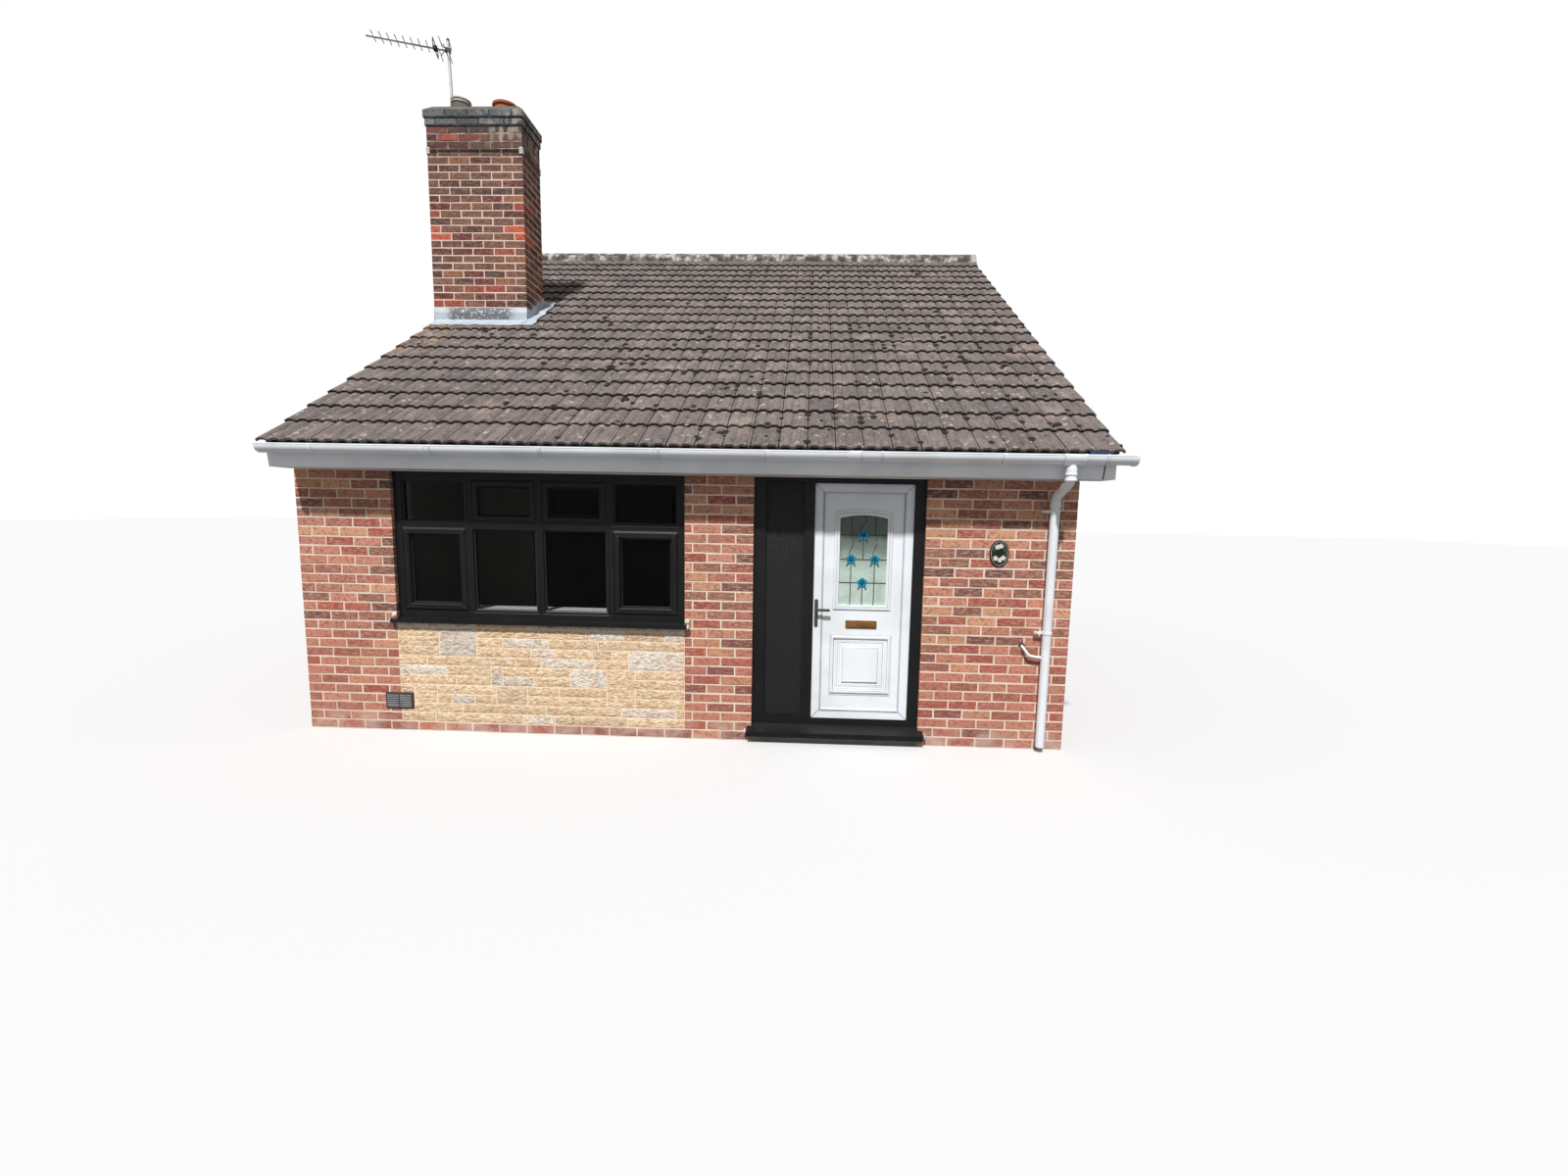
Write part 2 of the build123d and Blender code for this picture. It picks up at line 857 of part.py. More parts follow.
def window_lights(left, right, bays):
    """Each light of a window: its low corner, its size and whether a sash fills it."""
    bay_width = (right - left - 2 * frame_face - (bays - 1) * mullion_face) / bays
    rows = [
        (frame_foot + frame_face, transom_level - mullion_face / 2, False),
        (transom_level + mullion_face / 2, head_level - frame_face, True),
    ]
    lights = []
    for bay in range(bays):
        start = left + frame_face + bay * (bay_width + mullion_face)
        in_middle = 0 < bay < bays - 1
        for foot, head, is_top_row in rows:
            lights.append(((start, foot), (bay_width, head - foot), in_middle == is_top_row))
    return lights


def light_rectangle(corner, size, inset=0.0, mode=Mode.ADD):
    """A rectangle over one light, inset from its edges."""
    with Locations((corner[0] + size[0] / 2, corner[1] + size[1] / 2)):
        Rectangle(size[0] - 2 * inset, size[1] - 2 * inset, mode=mode)


def window_frame(left, right, bays):
    """The fixed frame of one window."""
    with BuildPart() as frame:
        with BuildSketch(wall_plane(frame_setback)):
            light_rectangle((left, frame_foot), (right - left, head_level - frame_foot))
            for corner, size, _ in window_lights(left, right, bays):
                light_rectangle(corner, size, mode=Mode.SUBTRACT)
        extrude(amount=-frame_depth)
    return frame.part


def window_sash(corner, size):
    """A bevelled sash that fills one light and stands proud of the frame."""
    with BuildPart() as sash:
        with BuildSketch(wall_plane(frame_setback - sash_proud)):
            light_rectangle(corner, size)
            light_rectangle(corner, size, inset=sash_face, mode=Mode.SUBTRACT)
        extrude(amount=-sash_depth)
        chamfer(sash.faces().sort_by(Axis.Y)[0].edges(), sash_bevel)
    return sash.part


def window_pane(corner, size, inset):
    """The sealed glass unit of one light."""
    with BuildPart() as pane:
        with BuildSketch(wall_plane(frame_setback + glass_inset)):
            light_rectangle(corner, size, inset=inset)
        extrude(amount=-glass_thickness)
    return pane.part


def window_sill(left, right):
    """A sloping sill with a nose in front of the wall that runs past the opening."""
    nose_y = front_y - sill_projection
    outline = [
        (nose_y, window_seat),
        (nose_y, window_seat + sill_height / 2),
        (front_y + frame_setback, frame_foot),
        (frame_back_y, frame_foot),
        (frame_back_y, window_seat),
    ]
    with BuildPart() as sill:
        add(prism_x(outline, left - sill_horn, right + sill_horn))
        for start, end in ((left - 2 * sill_horn, left), (right, right + 2 * sill_horn)):
            add(
                block((start, front_y, window_seat), (end, frame_back_y, frame_foot)),
                mode=Mode.SUBTRACT,
            )
    return sill.part


with BuildPart() as window_frames:
    for left, right, bays, at_rear in windows:
        add(placed(window_frame(left, right, bays), at_rear))

with BuildPart() as window_sashes:
    for left, right, bays, at_rear in windows:
        for corner, size, has_sash in window_lights(left, right, bays):
            if has_sash:
                add(placed(window_sash(corner, size), at_rear))

with BuildPart() as window_glass:
    for left, right, bays, at_rear in windows:
        for corner, size, has_sash in window_lights(left, right, bays):
            add(placed(window_pane(corner, size, sash_face if has_sash else 0), at_rear))

with BuildPart() as window_sills:
    for left, right, bays, at_rear in windows:
        add(placed(window_sill(left, right), at_rear))

with BuildPart() as window_boards:
    for left, right, bays, at_rear in windows:
        board = block(
            (left, frame_back_y, window_seat),
            (right, front_inner_y + board_nose, window_seat + board_height),
        )
        add(placed(board, at_rear))

# Front door frame, with a fixed side light on the left and a stop in front of the leaf
frame_front_y = front_y + frame_setback
door_frame_foot = door_seat + door_sill_height
rail_top = door_frame_foot + door_foot_rail
side_left = door_left + door_left_stile
side_right = side_left + sidelight_width
leaf_left = side_right + door_mullion + latch_gap
leaf_right = door_right - door_right_stile - leaf_gap
leaf_foot = rail_top + leaf_gap
leaf_head = head_level - door_head - leaf_gap
leaf_front_y = frame_front_y + stop_thickness + leaf_gap
leaf_width = leaf_right - leaf_left
leaf_height = leaf_head - leaf_foot

with BuildPart() as door_frame:
    add(
        block(
            (door_left, frame_front_y, door_frame_foot), (door_right, frame_back_y, head_level)
        )
    )
    add(
        block(
            (side_left, frame_front_y, rail_top + side_bead),
            (side_right, frame_back_y, head_level - door_head),
        ),
        mode=Mode.SUBTRACT,
    )
    add(
        block(
            (leaf_left - latch_gap, frame_front_y + stop_thickness, rail_top),
            (leaf_right + leaf_gap, frame_back_y, head_level - door_head),
        ),
        mode=Mode.SUBTRACT,
    )
    add(
        block(
            (leaf_left + stop_lap, frame_front_y, leaf_foot + stop_lap),
            (leaf_right - stop_lap, frame_back_y, leaf_head - stop_lap),
        ),
        mode=Mode.SUBTRACT,
    )

with BuildPart() as sidelight_glass:
    add(
        block(
            (side_left, frame_front_y + glass_inset, rail_top + side_bead),
            (side_right, frame_front_y + glass_inset + glass_thickness, head_level - door_head),
        )
    )

door_nose_y = front_y - door_sill_projection

with BuildPart() as door_sill:
    with BuildSketch(Plane.YZ.offset(door_left - door_sill_horn)):
        with BuildLine():
            Polyline(
                (door_nose_y, door_seat),
                (door_nose_y, door_seat + door_sill_height / 2),
                (frame_front_y, door_frame_foot),
                (frame_back_y, door_frame_foot),
                (frame_back_y, door_seat),
                close=True,
            )
        make_face()
    extrude(amount=door_opening + 2 * door_sill_horn)
    for start, end in (
        (door_left - 2 * door_sill_horn, door_left),
        (door_right, door_right + 2 * door_sill_horn),
    ):
        add(
            block((start, front_y, door_seat), (end, frame_back_y, door_frame_foot)),
            mode=Mode.SUBTRACT,
        )

# Door leaf: a bordered slab with an arched light and a square moulded panel below it
light_middle_x = (leaf_left + leaf_right) / 2
field_y = leaf_front_y + leaf_border_step
panel_middle_z = leaf_foot + lower_panel_foot + lower_panel_height / 2
panel_head = leaf_foot + lower_panel_foot + lower_panel_height
door_light_foot = panel_head + door_light_above_panel
door_light_head = leaf_head - door_light_below_head


def arched_light(grow):
    """The door light's outline with its shallow arched head, grown on all sides."""
    half = door_light_width / 2 + grow
    foot = door_light_foot - grow
    spring = door_light_head - door_light_rise + grow
    with BuildSketch() as light:
        with BuildLine():
            Polyline(
                (light_middle_x - half, spring),
                (light_middle_x - half, foot),
                (light_middle_x + half, foot),
                (light_middle_x + half, spring),
            )
            ThreePointArc(
                (light_middle_x + half, spring),
                (light_middle_x, spring + door_light_rise),
                (light_middle_x - half, spring),
            )
        make_face()
    return light.sketch_local


def facade_plane(y):
    """A plane that faces the street at the given y, drawn as X and Z."""
    return Plane.XZ.offset(-y)


with BuildPart() as door_leaf:
    add(block((leaf_left, leaf_front_y, leaf_foot), (leaf_right, frame_back_y, leaf_head)))
    with BuildSketch(facade_plane(leaf_front_y)):
        with Locations((light_middle_x, leaf_foot + leaf_height / 2)):
            Rectangle(leaf_width - 2 * leaf_border, leaf_height - 2 * leaf_border)
    extrude(amount=-leaf_border_step, mode=Mode.SUBTRACT)
    with BuildSketch(facade_plane(field_y)):
        add(arched_light(moulding_face))
        with Locations((light_middle_x, panel_middle_z)):
            Rectangle(lower_panel_width, lower_panel_height)
    extrude(amount=moulding_proud)
    chamfer(door_leaf.faces().sort_by(Axis.Y)[0:2].edges(), moulding_bevel)
    with BuildSketch(facade_plane(field_y)):
        with Locations((light_middle_x, panel_middle_z)):
            Rectangle(
                lower_panel_width - 2 * lower_panel_rim, lower_panel_height - 2 * lower_panel_rim
            )
            Rectangle(
                lower_panel_width - 2 * lower_panel_band,
                lower_panel_height - 2 * lower_panel_band,
                mode=Mode.SUBTRACT,
            )
    extrude(amount=moulding_proud, mode=Mode.SUBTRACT)
    with BuildSketch(facade_plane(leaf_front_y - 2 * moulding_proud)):
        add(arched_light(0))
    extrude(amount=-(frame_back_y - leaf_front_y) - 3 * moulding_proud, mode=Mode.SUBTRACT)

with BuildPart() as door_glass:
    with BuildSketch(facade_plane(field_y + door_glass_inset)):
        add(arched_light(0))
    extrude(amount=-glass_thickness)

# Lever handles on both faces of the leaf, and the letterplate
handle_x = leaf_left + handle_inset
handle_z = leaf_foot + handle_level
leaf_middle_y = (leaf_front_y + frame_back_y) / 2
letterplate_z = panel_head + letterplate_above_panel

with BuildPart() as door_handle:
    with BuildSketch(facade_plane(leaf_front_y)):
        with Locations((handle_x, handle_z)):
            SlotOverall(handle_plate_height, handle_plate_width, rotation=90)
    extrude(amount=handle_plate_thickness)
    with BuildSketch(facade_plane(leaf_front_y)):
        with Locations((handle_x, handle_z + handle_plate_width)):
            Circle(handle_plate_width / 3)
    extrude(amount=lever_standoff)
    with BuildSketch(facade_plane(leaf_front_y - lever_standoff)):
        with Locations((handle_x + lever_length / 2 - lever_height / 2, handle_z + handle_plate_width)):
            SlotOverall(lever_length, lever_height)
    extrude(amount=-lever_thickness)
    mirror(about=facade_plane(leaf_middle_y))

with BuildPart() as letterplate:
    with BuildSketch(facade_plane(field_y)):
        with Locations((light_middle_x, letterplate_z)):
            RectangleRounded(letterplate_width, letterplate_height, letterplate_height / 8)
    extrude(amount=letterplate_thickness)
    with BuildSketch(facade_plane(field_y - letterplate_thickness)):
        with Locations((light_middle_x, letterplate_z)):
            Rectangle(
                letterplate_width - 2 * flap_end_margin, letterplate_height - 2 * flap_edge_margin
            )
    extrude(amount=flap_proud)

# Hinges inside: pins with their lower barrels on the frame, upper barrels on the leaf
pivot_x = leaf_right + leaf_gap / 2
pivot_y = frame_back_y + hinge_barrel_radius + hinge_clearance
half_barrel = (hinge_height - pin_clearance) / 2
hinge_feet = [
    leaf_foot + hinge_height + index * (leaf_height - 3 * hinge_height) / (hinge_count - 1)
    for index in range(hinge_count)
]

with BuildPart() as door_hinge_pins:
    for foot in hinge_feet:
        add(
            block(
                (pivot_x, frame_back_y, foot),
                (pivot_x + hinge_flag, frame_back_y + hinge_flag_thickness, foot + half_barrel),
            )
        )
        with Locations((pivot_x, pivot_y, foot)):
            Cylinder(
                hinge_barrel_radius, half_barrel, align=(Align.CENTER, Align.CENTER, Align.MIN)
            )
            Cylinder(hinge_pin_radius, hinge_height, align=(Align.CENTER, Align.CENTER, Align.MIN))

with BuildPart() as door_hinge_leaves:
    for foot in hinge_feet:
        barrel_foot = foot + half_barrel + pin_clearance
        add(
            block(
                (pivot_x - hinge_flag, frame_back_y, barrel_foot),
                (pivot_x, frame_back_y + hinge_flag_thickness, foot + hinge_height),
            )
        )
        with Locations((pivot_x, pivot_y, barrel_foot)):
            Cylinder(
                hinge_barrel_radius, half_barrel, align=(Align.CENTER, Align.CENTER, Align.MIN)
            )
        with Locations((pivot_x, pivot_y, barrel_foot)):
            Cylinder(
                hinge_pin_radius + pin_clearance,
                hinge_height,
                align=(Align.CENTER, Align.CENTER, Align.MIN),
                mode=Mode.SUBTRACT,
            )

# Louvred vent at the foot of the wall, and the oval plaque by the corner
vent_x = window_left - vent_past_window
vent_z = vent_level + vent_height / 2
louvre_pitch = vent_height / (louvre_count + 1)

with BuildPart() as air_vent:
    with BuildSketch(facade_plane(front_y)):
        with Locations((vent_x, vent_z)):
            Rectangle(vent_width, vent_height)
    extrude(amount=vent_proud)
    chamfer(air_vent.faces().sort_by(Axis.Y)[0].edges(), vent_bevel)
    with BuildSketch(facade_plane(front_y - vent_proud)):
        with Locations((vent_x, vent_z)):
            with GridLocations(0, louvre_pitch, 1, louvre_count):
                Rectangle(louvre_length, louvre_slot)
    extrude(amount=-louvre_depth, mode=Mode.SUBTRACT)

plaque_turns = [2 * pi * side / plaque_sides for side in range(plaque_sides)]
plaque_outline = [
    (plaque_width / 2 * cos(turn), plaque_height / 2 * sin(turn)) for turn in plaque_turns
]

with BuildPart() as wall_plaque:
    with BuildSketch(facade_plane(front_y)):
        with Locations((gable_x - plaque_from_gable, plaque_level)):
            Polygon(*plaque_outline)
    extrude(amount=plaque_proud)
    chamfer(wall_plaque.faces().sort_by(Axis.Y)[0].edges(), plaque_bevel)

pieces = {
    "floor_slab": floor_slab,
    "party_wall": party_wall,
    "gable_wall": gable_wall,
    "front_wall_left": front_wall_left,
    "front_wall_middle": front_wall_middle,
    "front_wall_right": front_wall_right,
    "front_wall_under_window": front_wall_under_window,
    "stone_panel": stone_panel,
    "front_beam": front_beam,
    "rear_wall": rear_wall,
    "wall_plates": wall_plates,
    "ceiling": ceiling,
    "roof_deck_front": roof_deck_front,
    "roof_deck_rear": roof_deck_rear,
    "roof_tiles_front": roof_tiles_front,
    "roof_tiles_rear": roof_tiles_rear,
    "ridge_tiles": ridge_tiles,
    "barge_boards": barge_boards,
    "verge_lining": verge_lining,
    "fascias": fascias,
    "soffits": soffits,
    "gutters": gutters,
    "gutter_brackets": gutter_brackets,
    "downpipes": downpipes,
    "overflow_pipe": overflow_pipe,
    "chimney_breast": chimney_breast,
    "chimney_stack": chimney_stack,
    "chimney_cap": chimney_cap,
    "flaunching": flaunching,
    "flue_pot": flue_pot,
    "clay_pot": clay_pot,
    "chimney_flashing": chimney_flashing,
    "aerial": aerial,
    "window_frames": window_frames,
    "window_sashes": window_sashes,
    "window_glass": window_glass,
    "window_sills": window_sills,
    "window_boards": window_boards,
    "door_frame": door_frame,
    "sidelight_glass": sidelight_glass,
    "door_sill": door_sill,
    "door_hinge_pins": door_hinge_pins,
    "door_hinge_leaves": door_hinge_leaves,
    "door_leaf": door_leaf,
    "door_glass": door_glass,
    "door_handle": door_handle,
    "letterplate": letterplate,
    "air_vent": air_vent,
    "wall_plaque": wall_plaque,
}
for name, piece in pieces.items():
    piece.part.label = name
    export_step(piece.part, f"parts/{name}.step")
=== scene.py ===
"""A brick bungalow with a wide window, a street door and a chimney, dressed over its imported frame.

Lengths are metres. X runs along the front, Y into the house and Z up, as in the frame.
"""
import math
import random

import bmesh
import bpy
from bpy.props import FloatProperty, FloatVectorProperty, PointerProperty
from mathutils import Matrix, Vector, noise


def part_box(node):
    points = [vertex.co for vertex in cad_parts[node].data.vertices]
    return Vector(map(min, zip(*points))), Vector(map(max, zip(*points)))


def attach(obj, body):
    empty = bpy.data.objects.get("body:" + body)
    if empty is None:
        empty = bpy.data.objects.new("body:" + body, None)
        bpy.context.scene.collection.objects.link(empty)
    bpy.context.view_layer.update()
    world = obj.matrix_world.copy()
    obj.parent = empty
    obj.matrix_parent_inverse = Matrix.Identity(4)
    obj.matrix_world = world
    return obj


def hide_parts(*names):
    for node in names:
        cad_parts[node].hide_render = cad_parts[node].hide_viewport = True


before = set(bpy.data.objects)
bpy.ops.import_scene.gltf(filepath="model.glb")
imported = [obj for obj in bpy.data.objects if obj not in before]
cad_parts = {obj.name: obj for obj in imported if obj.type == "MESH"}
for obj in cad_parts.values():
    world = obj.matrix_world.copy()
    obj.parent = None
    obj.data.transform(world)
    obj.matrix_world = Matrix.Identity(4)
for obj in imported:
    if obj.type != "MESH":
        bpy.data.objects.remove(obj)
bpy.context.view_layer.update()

bl_info = {
    "name": "Brick bungalow",
    "version": (1, 0, 0),
    "blender": (4, 5, 0),
    "location": "3D View > Sidebar > Bungalow",
    "description": "Dresses the packed bungalow with its bricks, tiles, fine parts and finishes",
    "category": "Object",
}

LEFT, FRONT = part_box("party_wall")[0].xy
RIGHT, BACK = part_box("gable_wall")[1].xy
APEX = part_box("gable_wall")[1].z
STACK_LOW, STACK_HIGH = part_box("chimney_stack")
ROOF_LOW, ROOF_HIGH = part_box("roof_tiles_front")
EDGE_LEVEL = 2.323  # of the lowest tile tails
UP = Vector((0, 0, 1))
PLAIN = (0.5, 0.5, 0.5)
FINISHES = {}


# Settings a user would change
def paint(red, green, blue):
    """A colour as it is seen, 0 to 255 a channel, in linear values."""
    channels = [channel / 255 for channel in (red, green, blue)]
    return [c / 12.92 if c <= 0.04045 else ((c + 0.055) / 1.055) ** 2.4 for c in channels]


def tone(name, description, *seen):
    """A colour setting."""
    return FloatVectorProperty(
        name=name, description=description, default=paint(*seen), subtype="COLOR", min=0, max=1
    )


def length(name, description, default):
    """A length setting."""
    return FloatProperty(
        name=name, description=description, default=default, min=0, unit="LENGTH", precision=4
    )


class BrickSettings(bpy.types.PropertyGroup):
    course: length("Course", "Height of one brick and its bed joint", 0.075)
    module: length("Brick spacing", "Length of one stretcher and its joint", 0.225)
    joint: length("Joint", "Width of the mortar joints", 0.010)
    proud: length("Face", "How far the brick faces stand out of the mortar", 0.0024)
    arris: length("Arris", "Width of the worn edge of each brick", 0.0035)
    salmon: tone("Salmon brick", "Commonest colour of the facing bricks", 188, 126, 104)
    tan: tone("Tan brick", "Lightest of the facing bricks", 196, 144, 112)
    rose: tone("Rose brick", "Duller pink facing bricks", 166, 106, 90)
    red: tone("Red brick", "Brightest of the facing bricks", 164, 88, 73)
    brown: tone("Brown brick", "Dark red-brown facing bricks", 144, 98, 80)
    dark: tone("Dark brick", "Purple-brown facing bricks", 114, 80, 72)
    mortar: tone("Mortar", "Mortar of the walls", 242, 222, 204)
    stack: tone("Stack brick", "Commonest brick of the chimney", 114, 82, 71)
    soot: tone("Soot", "Stain on the top of the chimney and its cap", 62, 60, 60)


class StoneSettings(bpy.types.PropertyGroup):
    top: length("Top strip", "Height of the thin stones under the sill", 0.040)
    joint: length("Joint", "Width of the joints between the stones", 0.010)
    relief: length("Relief", "How far the split faces stand out", 0.008)
    buff: tone("Buff stone", "Commonest colour of the stones", 232, 202, 166)
    grey: tone("Grey stone", "Colour of the pale grey stones", 224, 214, 200)
    mortar: tone("Mortar", "Mortar of the stone panel", 250, 226, 194)


class RoofSettings(bpy.types.PropertyGroup):
    pitch: FloatProperty(
        name="Pitch", description="Slope of the roof", default=math.radians(32), subtype="ANGLE"
    )
    gauge: length("Gauge", "Distance between tile tails up the slope", 0.280)
    cover: length("Cover width", "Width that one tile covers", 0.200)
    roll: length("Roll", "Height of the rolls on a tile", 0.012)
    nose: length("Nose", "Thickness of a tile at its tail", 0.013)
    tile: tone("Tile", "Weathered colour of the tiles", 112, 102, 99)
    # This colour paints the shade under the laps, in the pans and on the backing between tiles, as well as
    # real dirt and growth
    shade: tone("Tile dirt and painted shade", "Dirt and painted shade under the laps, in the pans and in the gaps", 46, 40, 39)
    lichen: tone("Lichen", "Pale lichen on tiles and ridge", 204, 194, 184)
    moss: tone("Moss", "Moss along the laps", 46, 38, 33)
    ridge: tone("Ridge", "Weathered colour of the ridge tiles", 122, 115, 112)
    lead: tone("Lead", "Lead round the chimney", 188, 198, 206)


class JoinerySettings(bpy.types.PropertyGroup):
    white: tone("White plastic", "Boards, gutters, pipes and the door", 242, 246, 250)
    black: tone("Black plastic", "Windows, door frame and sills", 13, 12, 14)
    gasket: tone("Gasket", "Thin strip round each pane", 52, 52, 55)
    lead_strip: length("Lead strip", "Width of the strips on the door light", 0.007)
    petal: tone("Petal", "Flowers in the door light", 34, 138, 172)
    gold: tone("Letterplate", "Aged gold of the letterplate", 176, 128, 70)
    terracotta: tone("Terracotta", "Clay of the right pot", 176, 92, 66)
    enamel: tone("Enamel", "Ground of the oval plaque", 26, 36, 28)


class StageSettings(bpy.types.PropertyGroup):
    sun: FloatProperty(name="Sun", description="Strength of the main lamp", default=3.9, min=0)
    sky: FloatProperty(name="Sky", description="Strength of the soft fill", default=0.36, min=0)
    floor: tone("Floor", "Colour of the floor", 221, 221, 221)
    focal: FloatProperty(name="Focal length", description="In pixels of a 1600 wide image", default=659.1)


GROUPS = {
    "bungalow_bricks": BrickSettings,
    "bungalow_stone": StoneSettings,
    "bungalow_roof": RoofSettings,
    "bungalow_joinery": JoinerySettings,
    "bungalow_stage": StageSettings,
}


# Shader expressions
class Link:
    """An output of a material's node that can stand in sums and products."""

    def __init__(self, skin, socket):
        self.skin = skin
        self.socket = socket

    def maths(self, operation, *values):
        return self.skin.node("ShaderNodeMath", {"operation": operation}, dict(enumerate(values)))

    def __add__(self, other):
        return self.maths("ADD", self, other)

    def __sub__(self, other):
        return self.maths("SUBTRACT", self, other)

    def __rsub__(self, other):
        return self.maths("SUBTRACT", other, self)

    def __mul__(self, other):
        return self.maths("MULTIPLY", self, other)

    def __abs__(self):
        return self.maths("ABSOLUTE", self)

    def above(self, edge, blur=0.05):
        """One where the value lies above the edge, nothing below it, with a soft step between."""
        ends = {"Value": self, "From Min": edge - blur, "From Max": edge + blur}
        return self.skin.node("ShaderNodeMapRange", {"interpolation_type": "SMOOTHSTEP"}, ends)

    __radd__ = __add__
    __rmul__ = __mul__


def linear(colour):
    """A colour in linear values; a tuple holds it as it is seen."""
    return paint(*colour) if isinstance(colour, tuple) else colour


class Skin:
    """One material: its nodes, built by name, round one shader, and its colour so far."""

    def __init__(self, name, colour, roughness, **constants):
        self.material = FINISHES[name] = bpy.data.materials.new(name)
        self.material.use_nodes = True
        self.tree = self.material.node_tree
        self.shader = self.tree.nodes["Principled BSDF"]
        self.colour = linear(colour)
        for socket, value in {"roughness": roughness, **constants}.items():
            title = socket.replace("_", " ").title().replace("Ior", "IOR")
            self.shader.inputs[title].default_value = value
        self.place = self.node("ShaderNodeTexCoord", output="Object")

    def node(self, kind, settings=None, values=None, output=0):
        """Adds one node: its settings first, then its values and links."""
        node = self.tree.nodes.new(kind)
        for key, value in (settings or {}).items():
            if key == "stops":
                self.set_stops(node.color_ramp, value)
            else:
                setattr(node, key, value)
        for key, value in (values or {}).items():
            self.feed(node.inputs[key], value)
        if isinstance(output, tuple):
            return [Link(self, node.outputs[index]) for index in output]
        return Link(self, node.outputs[output])

    def set_stops(self, ramp, stops):
        """Gives a ramp its stops, each held up to the next."""
        ramp.interpolation = "CONSTANT"
        while len(ramp.elements) < len(stops):
            ramp.elements.new(1)
        for element, (position, colour) in zip(ramp.elements, stops):
            element.position = position
            element.color = (*colour, 1)

    def feed(self, socket, value):
        if isinstance(value, Link):
            self.tree.links.new(value.socket, socket)
        elif socket.type == "RGBA":
            socket.default_value = (*value[:3], 1)
        else:
            socket.default_value = value

    def axes(self):
        """The position along each axis."""
        return self.node("ShaderNodeSeparateXYZ", values={0: self.place}, output=(0, 1, 2))

    def tint(self):
        """The three numbers that each brick, stone or tile carries."""
        stored = self.node("ShaderNodeAttribute", {"attribute_name": "tint"}, output="Color")
        return self.node("ShaderNodeSeparateColor", values={0: stored}, output=(0, 1, 2))

    def noise(self, scale, detail, stretch=None):
        """Cloudy noise of about this many clouds a metre, stretched along the axes if asked."""
        at = self.place
        if stretch:
            at = self.node("ShaderNodeMapping", None, {"Vector": at, "Scale": stretch})
        return self.node("ShaderNodeTexNoise", None, {"Vector": at, "Scale": scale, "Detail": detail})

    def cells(self, scale):
        """Distance from the nearest of many scattered points."""
        return self.node("ShaderNodeTexVoronoi", None, {"Vector": self.place, "Scale": scale})

    def choose(self, choice, shares, tones):
        """Takes one of the tones, each from its share of the choice on."""
        stops = list(zip(shares, map(linear, tones)))
        self.colour = self.node("ShaderNodeValToRGB", {"stops": stops}, {0: choice})

    def mix(self, factor, first, second):
        values = {0: factor, 6: linear(first), 7: linear(second)}
        return self.node("ShaderNodeMix", {"data_type": "RGBA"}, values, 2)

    def stain(self, amount, colour):
        """Lays another colour over the one so far."""
        self.colour = self.mix(amount, self.colour, colour)

    def shade(self, factor):
        """Makes the colour so far brighter or darker."""
        values = {0: self.colour, 3: factor}
        self.colour = self.node("ShaderNodeVectorMath", {"operation": "SCALE"}, values)

    def coat(self, roughness=None, height=None, depth=0.001):
        """Puts the colour, roughness and relief on the shader."""
        self.feed(self.shader.inputs["Base Color"], self.colour)
        if roughness is not None:
            self.feed(self.shader.inputs["Roughness"], roughness)
        if height is not None:
            relief = self.node("ShaderNodeBump", None, {"Height": height, "Distance": depth}, "Normal")
            self.feed(self.shader.inputs["Normal"], relief)


def worn(name, base, dirt, scale, roughness, grain, depth, amount, **constants):
    """A finish of one colour with dirt in clouds and a fine grain."""
    skin = Skin(name, base, roughness, **constants)
    clouds, fine = skin.noise(scale, 6), skin.noise(scale * 14, 3)
    skin.stain(clouds.above(0.58, 0.16) * amount, dirt)
    skin.shade(1 - grain / 2 + fine * grain)
    skin.coat(roughness - 0.1 + clouds * 0.25, fine + clouds, depth)


def brick_skin(name, tones, shares, soot=None, drags=(216, 170, 146), scorch=(106, 74, 66)):
    """Rough clay in several fired colours, speckled, with worn edges and stains."""
    skin = Skin(name, None, 0.9, specular_ior_level=0.25)
    pick, shade, stain = skin.tint()
    skin.choose(pick, shares, tones)
    fine, rough, drag = skin.noise(170, 3), skin.noise(38, 5), skin.noise(20, 4, (1, 1, 4))
    pits = skin.cells(95)
    x, _, height = skin.axes()
    skin.shade(0.4 + shade * 0.36 + fine * 0.62 + rough * 0.54)
    skin.stain(drag.above(0.54, 0.08) * 0.5, drags)
    skin.stain(rough.above(0.56, 0.06) * 0.5, scorch)
    skin.stain((1 - pits.above(0.24, 0.08)) * fine.above(0.48, 0.08) * 0.8, (70, 46, 42))
    if soot:
        black = height.above(5.42, 0.26) * (0.35 + stain * 0.4) * skin.noise(6, 5).above(0.36, 0.2)
        skin.stain(black, soot)
        drips = skin.noise(15, 5, (1, 1, 0.45)).above(0.53, 0.05) * height.above(5.58, 0.16)
        skin.stain(drips * x.above(-2.42, 0.2) * 0.7, (176, 170, 158))
    else:
        skin.stain((1 - height.above(0.8, 0.35)) * 0.3, (176, 97, 83))
        pale = skin.noise(7, 5).above(0.5, 0.16)
        skin.stain((1 - height.above(0.13, 0.09)) * pale * 0.55, (214, 190, 178))
    skin.coat(0.82 + fine * 0.16, rough * 0.8 + fine * 0.6 + pits * 0.5, 0.004)


def wall_backing(bricks):
    """Mortar outside, plaster inside."""
    skin = Skin("wall_backing", bricks.mortar, 0.95)
    x, y, _ = skin.axes()
    outside = (abs(y).above(abs(FRONT) - 0.06, 0.002) + abs(x).above(RIGHT - 0.03, 0.002)).above(0.5)
    clouds, sand = skin.noise(5, 5), skin.noise(420, 3)
    skin.stain(clouds.above(0.55, 0.2) * 0.5, (188, 160, 138))
    skin.shade(0.8 + sand * 0.4)
    skin.colour = skin.mix(outside, (176, 170, 158), skin.colour)
    skin.coat(0.95, (sand + clouds) * outside, 0.002)


